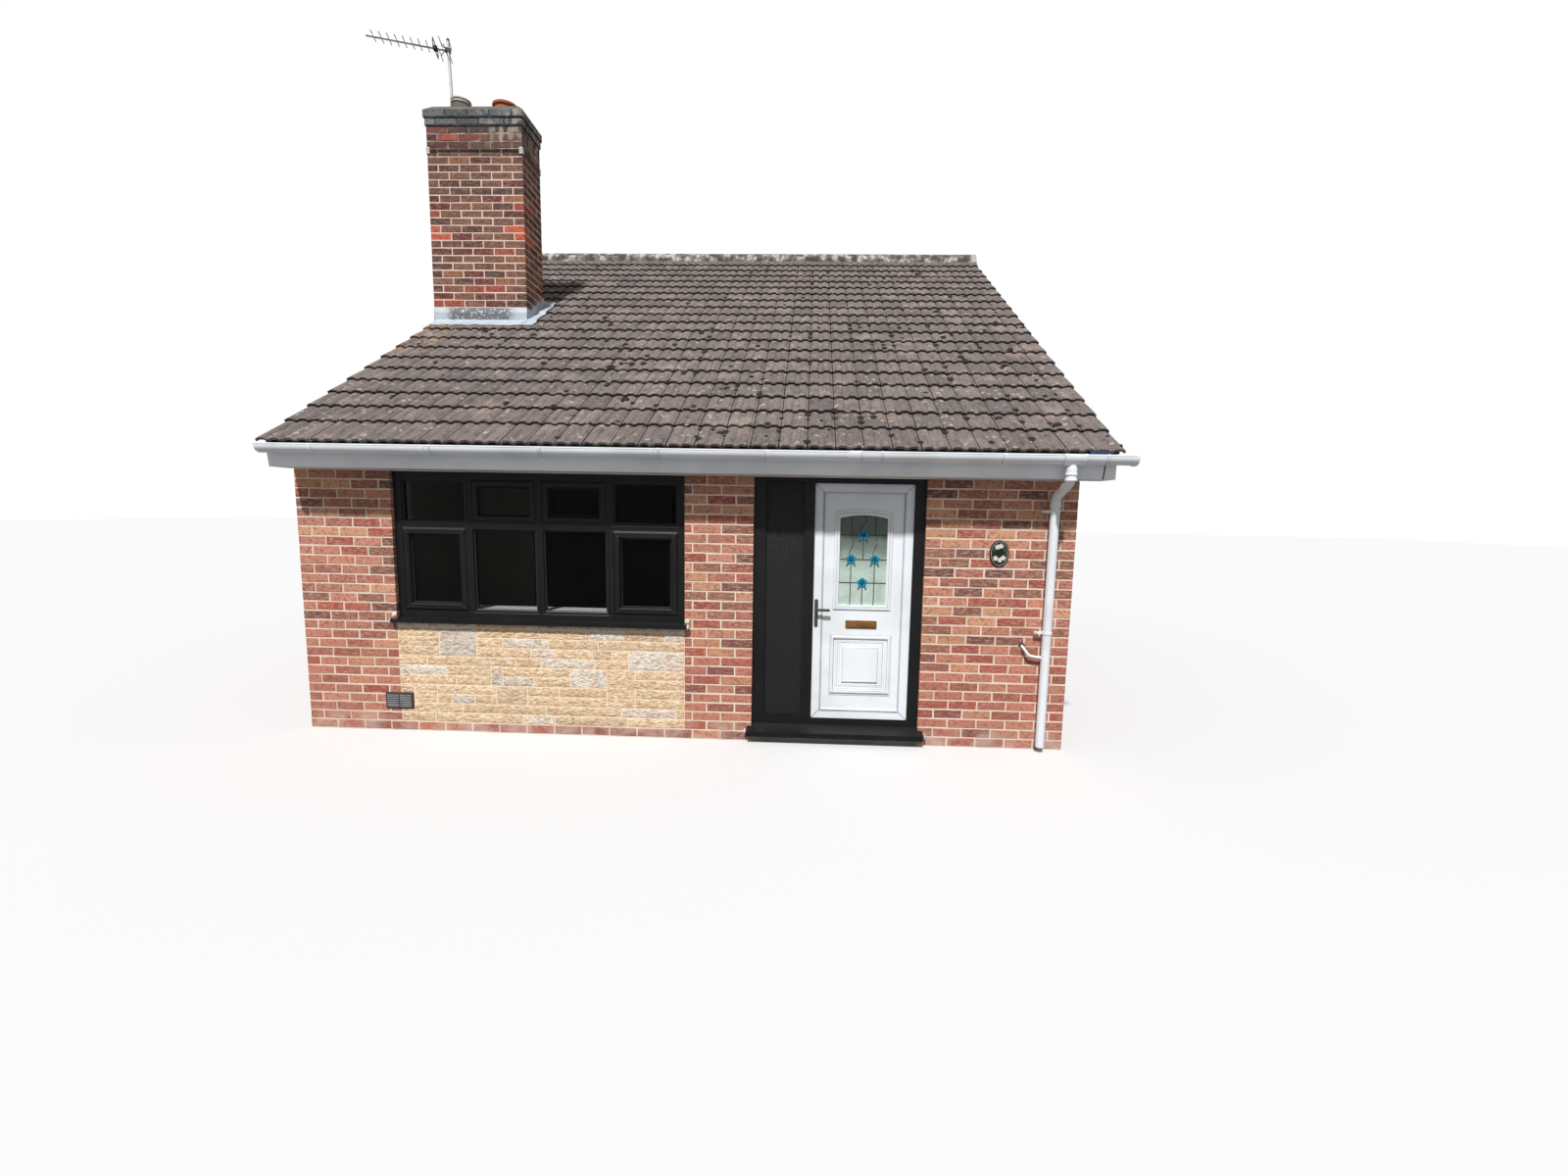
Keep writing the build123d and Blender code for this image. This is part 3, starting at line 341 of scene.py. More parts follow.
def stack_mortar(bricks):
    """The same mortar on the chimney, black near the top."""
    skin = Skin("stack_mortar", (240, 210, 192), 0.95)
    height = skin.axes()[2]
    clouds, sand = skin.noise(7, 5), skin.noise(320, 3)
    skin.shade(0.78 + sand * 0.4)
    skin.stain(height.above(5.4, 0.24) * clouds.above(0.44, 0.14) * 0.8, bricks.soot)
    skin.coat(0.95, sand + clouds, 0.002)


def split_stone(stone):
    """Split faces in buff and grey."""
    skin = Skin("split_stone", stone.buff, 0.92)
    pick, shade, _ = skin.tint()
    grain, clouds, chips = skin.noise(90, 5), skin.noise(14, 5), skin.noise(34, 5, (1, 1, 2))
    skin.stain(pick.above(0.5, 0.01), stone.grey)
    skin.stain(clouds.above(0.56, 0.12) * 0.4, (222, 166, 118))
    skin.stain(chips.above(0.57, 0.05) * 0.5, (158, 126, 98))
    skin.stain((1 - chips.above(0.4, 0.05)) * 0.55, (254, 242, 220))
    skin.shade(0.58 + shade * 0.18 + grain * 0.66)
    skin.coat(0.86 + grain * 0.12, grain * 0.8 + chips * 1.4, 0.008)


def roof_tile(roof):
    """Weathered concrete with dirt under the laps, lichen and moss stains."""
    skin = Skin("roof_tile", roof.tile, 0.93)
    pick, shade, nose = skin.tint()
    x, y, _ = skin.axes()
    grain, clouds, fine = skin.noise(60, 5), skin.noise(9, 5), skin.noise(200, 2)
    skin.stain(pick * 0.45, (124, 111, 104))
    skin.shade(0.4 + shade * 0.32 + grain * 0.88)
    # The tint's third number darkens tail faces and tile heads: dirt together with painted shade under the
    # laps
    skin.stain((nose + (clouds - 0.5) * 0.6).above(0.45, 0.3) * 0.9, roof.shade)
    # Darker bands in the pans at the foot of each roll: grime together with painted shade in the creases
    roll = ((x - ROOF_LOW.x) * (2 / fitted_cover(roof))).maths("FRACT")
    pan_grime_and_shade = (1 - abs(roll - 0.92).above(0.08, 0.05)) + (1 - abs(roll - 0.09).above(0.06, 0.04)) * 0.8
    skin.stain(pan_grime_and_shade * 0.75, roof.shade)
    streaks = skin.noise(30, 4, (1, 0.3, 0.3))
    skin.stain(streaks.above(0.58, 0.08) * 0.4, roof.shade)
    pale = (1 - skin.cells(15).above(0.3, 0.06)) * clouds.above(0.54, 0.06) * grain.above(0.44, 0.1)
    skin.stain(pale * 0.55, roof.lichen)
    skin.stain(grain.above(0.65, 0.04) * 0.3, roof.lichen)
    skin.stain(skin.noise(3.4, 6).above(0.62, 0.07) * 0.4, (164, 146, 136))
    beside = (1 - x.above(STACK_LOW.x + 0.35, 0.25)) * (1 - abs(y + 2.7).above(0.45, 0.35))
    rust = beside * (1 - skin.cells(17).above(0.38, 0.1)) * clouds.above(0.44, 0.1)
    skin.stain(rust * 0.85, (196, 150, 66))
    skin.coat(0.9 + fine * 0.1, grain + fine * 0.5, 0.004)


def ridge_tile(roof):
    """Weathered ridge tiles with black growth and white lichen."""
    skin = Skin("ridge_tile", roof.ridge, 0.92)
    clouds, grain = skin.noise(11, 5), skin.noise(60, 5)
    skin.shade(0.55 + grain * 0.6 + skin.tint()[0] * 0.3)
    skin.stain(clouds.above(0.53, 0.08) * 0.8, roof.shade)
    skin.stain((1 - clouds.above(0.42, 0.05)) * grain.above(0.46, 0.08), roof.lichen)
    skin.coat(0.92, grain + clouds, 0.004)


def lead_sheet(roof):
    """Pale lead with dark run-off stains."""
    skin = Skin("lead", roof.lead, 0.5, metallic=0.1, specular_ior_level=0.3)
    clouds, spots = skin.noise(7, 5), skin.noise(42, 5)
    middle = 1 - abs(skin.axes()[0] - (STACK_LOW.x + STACK_HIGH.x) / 2).above(0.34, 0.06)
    stained = middle * skin.tint()[0].above(0.7, 0.1)
    skin.stain(clouds.above(0.5, 0.2) * 0.35, (140, 150, 160))
    skin.stain(stained * spots.above(0.40, 0.08) * 0.9, (92, 92, 94))
    skin.coat(0.45 + clouds * 0.3, clouds + spots * 0.5, 0.004)


def glazing():
    """Clear, stippled and leaded panes."""
    clear = Skin("clear_glass", (12, 14, 15), 0.03, specular_ior_level=0.3)
    haze = clear.noise(2.5, 3)
    clear.shade(0.6 + haze * 0.8)
    clear.coat(0.02 + haze * 0.05)
    at_rear = clear.axes()[1].above(0, 1)
    clear.feed(clear.shader.inputs["Alpha"], 0.2 + at_rear * 0.76)
    stippled = Skin("obscured_glass", (32, 33, 32), 0.2, specular_ior_level=0.3)
    dots = stippled.cells(230)
    stippled.shade(0.5 + dots * 0.8 + stippled.noise(4, 3) * 0.5)
    stippled.coat(0.2 + dots * 0.2, dots, 0.002)
    leaded = Skin("leaded_glass", (112, 126, 116), 0.18, specular_ior_level=0.25)
    ripples, clouds = leaded.noise(110, 4), leaded.noise(9, 4)
    # Paler below about 1.6 m and darker above: painted shade of the eaves over the top of the light
    leaded.stain(1 - (leaded.axes()[2] + clouds * 0.24).above(1.6, 0.13), (198, 216, 204))
    leaded.shade(0.68 + ripples * 0.44 + (clouds - 0.5) * 0.7)
    leaded.coat(0.12 + ripples * 0.2, ripples, 0.004)


# Finishes of one colour: base, dirt, clouds a metre, roughness and grain, and then, where they are
# not the usual ones, depth of the relief, share of the dirt and metal; a base in words is a setting
USUAL_END = (0.0005, 0.5, 0)
WORN = {
    "cap_mortar": ((46, 44, 43), (104, 98, 92), 16, 0.95, 0.4, 0.002, 0.8),
    "haunching": ((112, 104, 94), (62, 58, 54), 14, 0.95, 0.5, 0.004),
    "bedding": ((122, 113, 106), (62, 57, 54), 20, 0.95, 0.5, 0.004, 0.8),
    "stone_mortar": ("stone.mortar", (226, 200, 168), 8, 0.95, 0.2, 0.001),
    "moss": ("roof.moss", (84, 76, 44), 30, 1.0, 0.9, 0.004),
    # The backing under the tiles shows in their gaps and under their tails, and its dark colour is painted
    # shade
    "tile_backing": ("roof.shade", (34, 30, 28), 12, 1.0, 0.5),
    "white_plastic": ("joinery.white", (172, 172, 164), 3, 0.38, 0.05, 0.0002, 0.22),
    # The fascias are the same white plastic, made brighter and bluer as painted sky light on a face that
    # lies in the gutter's shade
    "fascia_board": ((250, 253, 255), (196, 200, 206), 3, 0.38, 0.04, 0.0002, 0.3),
    "gasket": ("joinery.gasket", (70, 70, 72), 20, 0.7, 0.2),
    "mitre_line": ((86, 88, 90), (50, 50, 50), 20, 0.8, 0.2),
    # Grey lines that paint the shade in the door's grooves and beside the gutter straps
    "groove": ((142, 145, 150), (96, 96, 98), 20, 0.8, 0.2),
    "torn_felt": ((46, 56, 96), (30, 36, 58), 20, 0.7, 0.3),
    "caulk": ((40, 40, 42), (80, 80, 80), 20, 0.6, 0.2),
    "putty": ((228, 224, 214), (160, 150, 140), 30, 0.95, 0.3, 0.003),
    "lead_strip": ((74, 78, 80), (130, 134, 134), 40, 0.5, 0.3, 0.0005, 0.5, 0.6),
    "petal": ("joinery.petal", (18, 84, 110), 60, 0.2, 0.3),
    "stem": ((52, 74, 62), (30, 46, 40), 60, 0.3, 0.3),
    "flower_eye": ((24, 74, 96), (14, 50, 66), 60, 0.3, 0.2),
    "aged_gold": ("joinery.gold", (84, 60, 36), 16, 0.38, 0.25, 0.0004, 0.5, 0.7),
    "gold_shadow": ((66, 48, 30), (40, 30, 22), 30, 0.6, 0.3),
    "handle_steel": ((112, 108, 104), (52, 50, 50), 14, 0.34, 0.2, 0.0003, 0.5, 0.8),
    "hinge_zinc": ((186, 188, 190), (110, 108, 104), 20, 0.4, 0.2, 0.0005, 0.5, 0.9),
    "aerial_alloy": ((222, 222, 220), (140, 132, 126), 8, 0.45, 0.3, 0.0005, 0.5, 0.15),
    "aerial_dark": ((58, 58, 60), (98, 92, 86), 8, 0.6, 0.3, 0.0005, 0.5, 0.3),
    # The slat grey is darkened as painted shade over the vent
    "vent_slat": ((158, 160, 164), (100, 97, 94), 20, 0.6, 0.3),
    "terracotta": ("joinery.terracotta", (112, 66, 52), 10, 0.85, 0.3, 0.001, 0.6),
    "flue_metal": ((190, 188, 182), (104, 98, 92), 9, 0.6, 0.3, 0.0006, 0.6),
    "dark_plastic": ((58, 52, 52), (104, 92, 84), 14, 0.7, 0.3),
    "plaque_enamel": ("joinery.enamel", (14, 18, 16), 20, 0.22, 0.2),
    "plaque_white": ((222, 220, 208), (180, 176, 160), 60, 0.35, 0.2),
    "plaque_leaf": ((74, 108, 58), (46, 76, 42), 60, 0.35, 0.3),
    "plaster": ((176, 170, 158), (160, 152, 142), 2, 0.9, 0.06),
    "timber": ((178, 140, 98), (128, 94, 62), 8, 0.8, 0.4, 0.001),
    "concrete": ((162, 158, 150), (118, 114, 108), 5, 0.95, 0.3, 0.001),
}

# The finish of each material of the frame that has another name, and of two nodes by themselves
MATERIAL_FINISH = {
    "brick": "wall_backing",
    "stone": "stone_mortar",
    "roof_tile": "tile_backing",
    "weathered_brick": "cap_mortar",
    "mortar": "haunching",
    "clay": "terracotta",
    "handle_metal": "handle_steel",
    "gold_metal": "aged_gold",
    "hinge_metal": "hinge_zinc",
    "aerial_metal": "aerial_alloy",
    "enamel": "plaque_enamel",
}
NODE_FINISH = {"chimney_stack": "stack_mortar", "fascias": "fascia_board"}


class MixFinishes(bpy.types.Operator):
    """Mix every finish and put the fixed ones on the parts of the frame"""

    bl_idname = "bungalow.mix_finishes"
    bl_label = "Mix the finishes"

    def execute(self, context):
        scene = context.scene
        bricks, roof, joinery = scene.bungalow_bricks, scene.bungalow_roof, scene.bungalow_joinery
        tones = (bricks.salmon, bricks.tan, bricks.rose, bricks.red, bricks.brown, bricks.dark)
        brick_skin("facing_brick", tones, (0, 0.3, 0.48, 0.66, 0.78, 0.92))
        tones = (bricks.stack, (104, 58, 54), (84, 66, 61), (124, 90, 74), (150, 102, 78))
        tones += ((156, 74, 62), (192, 92, 68))
        shares = (0, 0.3, 0.6, 0.8, 0.92, 0.965, 0.985)
        brick_skin("stack_brick", tones, shares, bricks.soot, (170, 132, 116), (82, 56, 52))
        tones = ((110, 118, 126), (80, 84, 90), (128, 132, 134), (62, 64, 66))
        brick_skin("cap_brick", tones, (0, 0.35, 0.6, 0.85), (84, 86, 88), (150, 150, 144), (58, 58, 58))
        wall_backing(bricks)
        stack_mortar(bricks)
        split_stone(scene.bungalow_stone)
        roof_tile(roof)
        ridge_tile(roof)
        lead_sheet(roof)
        glazing()
        black = (joinery.black, (26, 25, 26), 4, 0.44, 0.2, 0.0002, 0.25)
        worn("black_plastic", *black, specular_ior_level=0.45)
        for name, row in WORN.items():
            row += USUAL_END[len(row) - 5 :]
            base, dirt, scale, roughness, grain, depth, amount, metal = row
            if isinstance(base, str):
                group, field = base.split(".")
                base = getattr(getattr(scene, f"bungalow_{group}"), field)
            worn(name, base, dirt, scale, roughness, grain, depth, amount, metallic=metal)
        for name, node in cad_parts.items():
            for slot in node.material_slots:
                kind = slot.material.name.split(".")[0]
                slot.material = FINISHES[MATERIAL_FINISH.get(kind, kind)]
            if name in NODE_FINISH:
                node.material_slots[0].material = FINISHES[NODE_FINISH[name]]
        return {"FINISHED"}


# Mesh work
def circle(sides):
    """Cosine and sine of each corner of a regular polygon."""
    turns = [2 * math.pi * side / sides for side in range(sides)]
    return [(math.cos(turn), math.sin(turn)) for turn in turns]


class Shape:
    """Gathers the corners and faces of one piece, with a tint at each corner."""

    def __init__(self):
        self.points, self.faces, self.tints = [], [], []

    def loft(self, rings, tint=PLAIN, closed=True, capped=True):
        """Skins a row of rings of equally many points; tint is one for all or one a ring."""
        start, count = len(self.points), len(rings[0])
        tints = tint if isinstance(tint, list) else [tint] * len(rings)
        for ring, shade in zip(rings, tints):
            self.points += [tuple(point) for point in ring]
            self.tints += [(*shade, 1.0)] * count
        for row in range(len(rings) - 1):
            for step in range(count if closed else count - 1):
                a = start + row * count + step
                b = start + row * count + (step + 1) % count
                self.faces.append((a, b, b + count, a + count))
        if capped:
            last = start + (len(rings) - 1) * count
            self.faces.append(tuple(range(start + count - 1, start - 1, -1)))
            self.faces.append(tuple(range(last, last + count)))

    def sheet(self, rows, tint=PLAIN):
        """An open skin over rows of points."""
        self.loft(rows, tint, closed=False, capped=False)

    def plate(self, place, outline, low, high, tint=PLAIN, arris=0.0):
        """A flat piece on a wall: its outline between two depths, its front edge worn."""
        rings = [[place(u, v, depth) for u, v in outline] for depth in (low, high - arris)]
        if arris:
            middle = [sum(values) / len(outline) for values in zip(*outline)]
            front = []
            for corner in outline:
                gaps = [m - c for c, m in zip(corner, middle)]
                moved = [c + math.copysign(min(arris, abs(gap)), gap) for c, gap in zip(corner, gaps)]
                front.append(place(*moved, high))
            rings.append(front)
        self.loft(rings, tint)

    def strip(self, place, start, end, half, low, high, arris=0.0):
        """A flat straight strip between two points of a wall."""
        start, end = Vector(start), Vector(end)
        run = (end - start).normalized() * half
        side = Vector((-run.y, run.x))
        outline = [start + side, start - side, end - side, end + side]
        self.plate(place, outline, low, high, PLAIN, arris)

    def tube(self, route, radius, sides, closed=False, bend=0.0):
        """A round bar along a route, its corners eased over the bend."""
        route = eased(route, bend) if bend else [Vector(point) for point in route]
        rings, across = [], None
        for index, point in enumerate(route):
            before = route[index - 1] if index or closed else point
            after = route[(index + 1) % len(route)] if index + 1 < len(route) or closed else point
            along = (after - before).normalized()
            if across is None:
                across = along.orthogonal().normalized()
            across = (across - along * across.dot(along)).normalized()
            other = along.cross(across)
            rings.append([point + (across * c + other * s) * radius for c, s in circle(sides)])
        if closed:
            rings.append(rings[0])
        self.loft(rings, capped=not closed)

    def bead(self, place, outline, depth, radius, sides=8):
        """A thin round bead that follows an outline on a wall."""
        self.tube([place(u, v, depth) for u, v in outline], radius, sides, closed=True)

    def disc(self, foot, axis, profile, sides):
        """A turned piece: rings given as (height, radius) along an axis."""
        axis = Vector(axis).normalized()
        across = axis.orthogonal().normalized()
        other = axis.cross(across)
        rings = []
        for height, radius in profile:
            centre = Vector(foot) + axis * height
            rings.append([centre + (across * c + other * s) * radius for c, s in circle(sides)])
        self.loft(rings)

    def frame(self, place, outline, profile):
        """A moulding round a rectangle, given as steps inwards and heights, mitred at the corners."""
        corners = corners_of(*outline)
        rings = [[place(u + du * step, v + dv * step, n) for step, n in profile] for u, v, du, dv in corners]
        self.loft(rings + rings[:1], capped=False)

    def build(self, name, finish, slot=None, body="root", smooth=32, replaces=()):
        """Makes the object, gives it its finish and lets it ride on its body."""
        mesh = bpy.data.meshes.new(name)
        mesh.from_pydata(self.points, [], self.faces)
        tints = mesh.attributes.new("tint", "FLOAT_COLOR", "POINT")
        tints.data.foreach_set("color", [value for row in self.tints for value in row])
        work = bmesh.new()
        work.from_mesh(mesh)
        bmesh.ops.recalc_face_normals(work, faces=work.faces)
        work.to_mesh(mesh)
        work.free()
        mesh.shade_smooth()
        mesh.set_sharp_from_angle(angle=math.radians(smooth))
        mesh.materials.append(FINISHES[finish])
        piece = bpy.data.objects.new(name, mesh)
        bpy.context.collection.objects.link(piece)
        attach(piece, body)
        if replaces:
            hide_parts(*replaces)
        return piece


def eased(route, bend):
    """The route with each corner rounded over the given distance."""
    points = [Vector(point) for point in route]
    smooth = [points[0]]
    for before, corner, after in zip(points, points[1:], points[2:]):
        start = corner + (before - corner).normalized() * bend
        end = corner + (after - corner).normalized() * bend
        for step in range(7):
            t = step / 6
            smooth.append(start * (1 - t) ** 2 + corner * 2 * t * (1 - t) + end * t**2)
    return smooth + [points[-1]]


def face_of(origin, across, outward):
    """Places a point on a wall by distance along it, level and depth outwards."""
    origin, across, outward = Vector(origin), Vector(across), Vector(outward)
    return lambda u, v, n: origin + across * u + UP * v + outward * n


def facade(y, side=-1, x=0):
    """A wall that faces the street, or the garden with side 1, drawn from the given x."""
    return face_of((x, y, 0), (1, 0, 0), (0, side, 0))


def clipped(outline, limits):
    """Cuts a convex outline so that a*u + b*v stays below c for each limit."""
    for a, b, c in limits:
        kept = []
        for (u0, v0), (u1, v1) in zip(outline, outline[1:] + outline[:1]):
            over, next_over = a * u0 + b * v0 - c, a * u1 + b * v1 - c
            if over <= 0:
                kept.append((u0, v0))
            if over * next_over < 0:
                t = over / (over - next_over)
                kept.append((u0 + t * (u1 - u0), v0 + t * (v1 - v0)))
        outline = kept
    return outline


def box_outline(left, right, foot, head):
    """The corners of a rectangle, from the left foot on."""
    return [(left, foot), (right, foot), (right, head), (left, head)]


def corners_of(left, right, foot, head):
    """Each corner of a rectangle, with the signs that lead inwards from it."""
    return ((left, foot, 1, 1), (right, foot, -1, 1), (right, head, -1, -1), (left, head, 1, -1))


def petal_outline(u, v, offset, along, across, spin, sides=10):
    """An oval whose middle lies at the offset from a point, its long axis along the spin."""
    cos, sin = math.cos(spin), math.sin(spin)
    ovals = [(offset + along * c, across * s) for c, s in circle(sides)]
    return [(u + a * cos - b * sin, v + a * sin + b * cos) for a, b in ovals]


# Windows: left, right, how many lights across and the side they face
WINDOWS = ((-2.2775, 0.0525, 4, -1), (-1.9275, 0.4025, 4, 1), (1.1025, 2.2925, 2, 1))

# Brickwork: openings as left, right, foot and head
HEAD_LEVEL = 2.100
OPENINGS_FRONT = [
    (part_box("window_frames")[0].x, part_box("front_wall_middle")[0].x, 0.080, HEAD_LEVEL),
    (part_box("door_frame")[0].x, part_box("door_frame")[1].x, 0.0, HEAD_LEVEL),
]
OPENINGS_REAR = [(left, right, 0.905, HEAD_LEVEL) for left, right, _, side in WINDOWS if side == 1]
REVEAL = 0.034  # how deep the bricks turn into an opening
REVEAL_LAP = 0.0015  # how far they lap over its edge
REVEAL_REACH = 0.03  # how far from the edge a brick may end and still turn in
BED = 0.003  # how deep the other bricks sit in the mortar
THINNEST_COURSE = 0.02
SHORTEST_BRICK = 0.025
LOWEST_BRICK = 0.012


def free_spans(length_along, openings, foot, head):
    """What is left of one course between the openings, and which ends meet an opening."""
    spans = [(0.0, length_along, False, False)]
    for left, right, low, high in openings:
        if high <= foot or low >= head:
            continue
        cut = []
        for start, end, at_start, at_end in spans:
            if left > start:
                cut.append((start, min(end, left), at_start, at_end if end <= left else True))
            if right < end:
                cut.append((max(start, right), end, at_start if start >= right else True, at_end))
        spans = cut
    return spans


def any_tint(dice):
    """The numbers that pick a brick's colour, shade and stains."""
    return (dice.random(), dice.random(), dice.random())


def corner_tint(corner, course):
    """The tint of a corner brick, which shows on two walls."""
    return any_tint(random.Random(f"{corner} {course}"))


def lay_course(shape, place, level, run, first_full, spans, settings, dice, ends, limits=(), picked=None):
    """Lays one course of stretchers, each cut to the spans left between the openings."""
    foot, head = level
    halves = round((run + settings.joint) / settings.module * 2)
    half = (run + settings.joint) / halves
    bricks = [] if first_full else [(0, 1)]
    for position in range(len(bricks), halves, 2):
        bricks.append((position, min(2, halves - position)))
    for start, count in bricks:
        tint = any_tint(dice)
        if start == 0:
            tint = ends[0]
        elif start + count == halves:
            tint = ends[1]
        elif picked:
            tint = picked.get(start, tint)
        left, right = start * half, (start + count) * half - settings.joint
        for span_left, span_right, at_left, at_right in spans:
            u0, u1 = max(left, span_left), min(right, span_right)
            if u1 - u0 < SHORTEST_BRICK:
                continue
            depth = BED
            if at_left and left - REVEAL_REACH < span_left:
                u0, depth = span_left - REVEAL_LAP, REVEAL
            if at_right and right + REVEAL_REACH > span_right:
                u1, depth = span_right + REVEAL_LAP, REVEAL
            if u0 <= 0:
                u0 = -settings.proud
            if u1 >= run - 0.001:
                u1 = run + settings.proud
            sag = dice.uniform(-0.0012, 0.0012)
            outline = box_outline(u0, u1, foot + sag, head + sag * 0.4)
            if depth < REVEAL and 0 < u0 and u1 < run:
                outline = [(u + dice.gauss(0, 0.001), v + dice.gauss(0, 0.001)) for u, v in outline]
            outline = clipped(outline, limits)
            if len(outline) < 3 or max(v for _, v in outline) - foot < LOWEST_BRICK:
                continue
            proud = settings.proud + dice.uniform(-0.001, 0.0018)
            shape.plate(place, outline, -depth, proud, tint, settings.arris)


class LayBrickwork(bpy.types.Operator):
    """Lay the facing bricks of the front, gable, rear and party walls"""

    bl_idname = "bungalow.lay_brickwork"
    bl_label = "Lay the brickwork"

    def execute(self, context):
        settings = context.scene.bungalow_bricks
        slope = math.tan(context.scene.bungalow_roof.pitch)
        width, depth = RIGHT - LEFT, BACK - FRONT
        front, rear = [
            [(RIGHT - right, RIGHT - left, low, high) for left, right, low, high in openings]
            for openings in (OPENINGS_FRONT, OPENINGS_REAR)
        ]
        under, rise = APEX - 0.006, depth / 2 * slope
        verge = [(-slope, 1, under - rise), (slope, 1, under + rise)]
        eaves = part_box("soffits")[0].z
        walls = [
            ("front_bricks", (RIGHT, FRONT, 0), (-1, 0, 0), (0, -1, 0), width, 0, front, (), eaves, "ad"),
            ("gable_bricks", (RIGHT, FRONT, 0), (0, 1, 0), (1, 0, 0), depth, 1, (), verge, APEX, "ab"),
            ("rear_bricks", (RIGHT, BACK, 0), (-1, 0, 0), (0, 1, 0), width, 1, rear, (), eaves, "bc"),
            ("party_bricks", (LEFT, BACK, 0), (0, -1, 0), (-1, 0, 0), depth, 0, (), verge, APEX, "cd"),
        ]
        for name, origin, across, outward, run, parity, openings, limits, top, corners in walls:
            dice = random.Random(name)
            shape, place = Shape(), face_of(origin, across, outward)
            for course in range(int(top / settings.course) + 1):
                foot = course * settings.course + settings.joint
                head = min((course + 1) * settings.course, top)
                if head - foot < THINNEST_COURSE:
                    continue
                spans = free_spans(run, openings, foot + THINNEST_COURSE, head - THINNEST_COURSE)
                ends = [corner_tint(corner, course) for corner in corners]
                first_full = course % 2 == parity
                lay_course(shape, place, (foot, head), run, first_full, spans, settings, dice, ends, limits)
            shape.build(name, "facing_brick", "brick")
        return {"FINISHED"}


# Bricks of the stack that stand out in its front, by half brick from the left and course from the
# top; e and a are the corner bricks
TAN, RED, ORANGE = (0.94, 0.7, 0.4), (0.975, 0.6, 0.3), (0.99, 0.8, 0.2)
STACK_PICKED = {(2, 4): TAN}
REDS = (("e", 0), (3, 1), ("e", 11), (6, 16), (3, 21), (5, 21), ("e", 23), (1, 23))
STACK_PICKED.update(dict.fromkeys(REDS, RED))
STACK_PICKED.update(dict.fromkeys(((1, 1), ("e", 13), ("a", 13), ("e", 14), ("a", 14)), ORANGE))


class BuildStack(bpy.types.Operator):
    """Lay the bricks of the chimney stack and its two oversailing courses"""

    bl_idname = "bungalow.build_stack"
    bl_label = "Build the chimney"

    def execute(self, context):
        settings = context.scene.bungalow_bricks
        low, high = STACK_LOW, STACK_HIGH
        width, depth = high.x - low.x, high.y - low.y
        faces = [
            ((low.x, low.y, 0), (1, 0, 0), (0, -1, 0), width, 0, "ea"),
            ((high.x, low.y, 0), (0, 1, 0), (1, 0, 0), depth, 0, "ab"),
            ((high.x, high.y, 0), (-1, 0, 0), (0, 1, 0), width, 1, "bc"),
            ((low.x, high.y, 0), (0, -1, 0), (-1, 0, 0), depth, 1, "ce"),
        ]
        oversail = (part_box("chimney_cap")[1].x - high.x) / 2
        stack, cap_bricks = Shape(), Shape()
        dice = random.Random("stack 4")
        for course in range(-2, 29):
            head = high.z - course * settings.course
            level = (head - settings.course + settings.joint, head)
            for origin, across, outward, run, parity, corners in faces:
                ends = []
                for corner in corners:
                    ends.append(STACK_PICKED.get((corner, course)) or corner_tint(f"stack {corner}", course))
                grown = -course * oversail if course < 0 else 0
                origin = Vector(origin) - Vector(across) * grown + Vector(outward) * grown
                run += 2 * grown
                shape = cap_bricks if course < 0 else stack
                place = face_of(origin, across, outward)
                spans = [(0, run, False, False)]
                first_full = course % 2 == parity
                picked = {}
                if corners == "ea":
                    picked = {at: tint for (at, row), tint in STACK_PICKED.items() if row == course}
                lay_course(shape, place, level, run, first_full, spans, settings, dice, ends, (), picked)
        self.pot_mortar()
        stack.build("stack_bricks", "stack_brick", "brick")
        cap_bricks.build("cap_bricks", "cap_brick", "weathered_brick")
        return {"FINISHED"}

    def pot_mortar(self):
        """Mortar round the flue pot, a dark cylinder as painted shade in its gap, and its two rings."""
        low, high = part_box("flue_pot")
        middle, top = (low + high) / 2, high.z
        foot = Vector((middle.x, middle.y, 0))
        cone, rings, gap = Shape(), Shape(), Shape()
        cone.disc(foot, UP, ((5.93, 0.13), (5.98, 0.116), (top - 0.056, 0.1), (top - 0.053, 0.09)), 28)
        # A dark cylinder as painted shade in the gap of the flue
        gap.disc(foot, UP, ((top - 0.054, 0.0965), (top - 0.004, 0.0965), (top - 0.003, 0.08)), 28)
        for level in (top - 0.044, top - 0.018):
            profile = ((0, 0.099), (0.003, 0.1025), (0.011, 0.1025), (0.014, 0.099))
            rings.disc(foot + UP * level, UP, profile, 28)
        cone.build("pot_haunching", "haunching", "mortar")
        gap.build("flue_gap", "aerial_dark", "flue_metal")
        rings.build("flue_rings", "flue_metal")


# Each course of the stone panel from the top: b is buff and g grey, with the thousandth of the
# panel's length where the stone ends and, after x, how many courses it is high
STONE_ROWS = (
    "g275 b470 g820 g1000",
    "b145 g276x3 b415 b670 g790 b930 g1000",
    "b145 b367 g527 b700 b1000",
    "b145 b465 g548 b680 b748 b806 g1000x2",
    "b100 b323 b412 b500 g687 b806",
    "g167 b323 g364x2 b602 g728x2 b827x4 b1000",
    "b200 b323 g473 b602 b1000",
    "b50 b130x2 b340 b449x2 b561 b728 b1000",
    "b50 b180 g262 b340 b728 b1000",
    "b220 b513 b779 g969 b1000",
    "b120 b432 g544 b800 b1000",
)


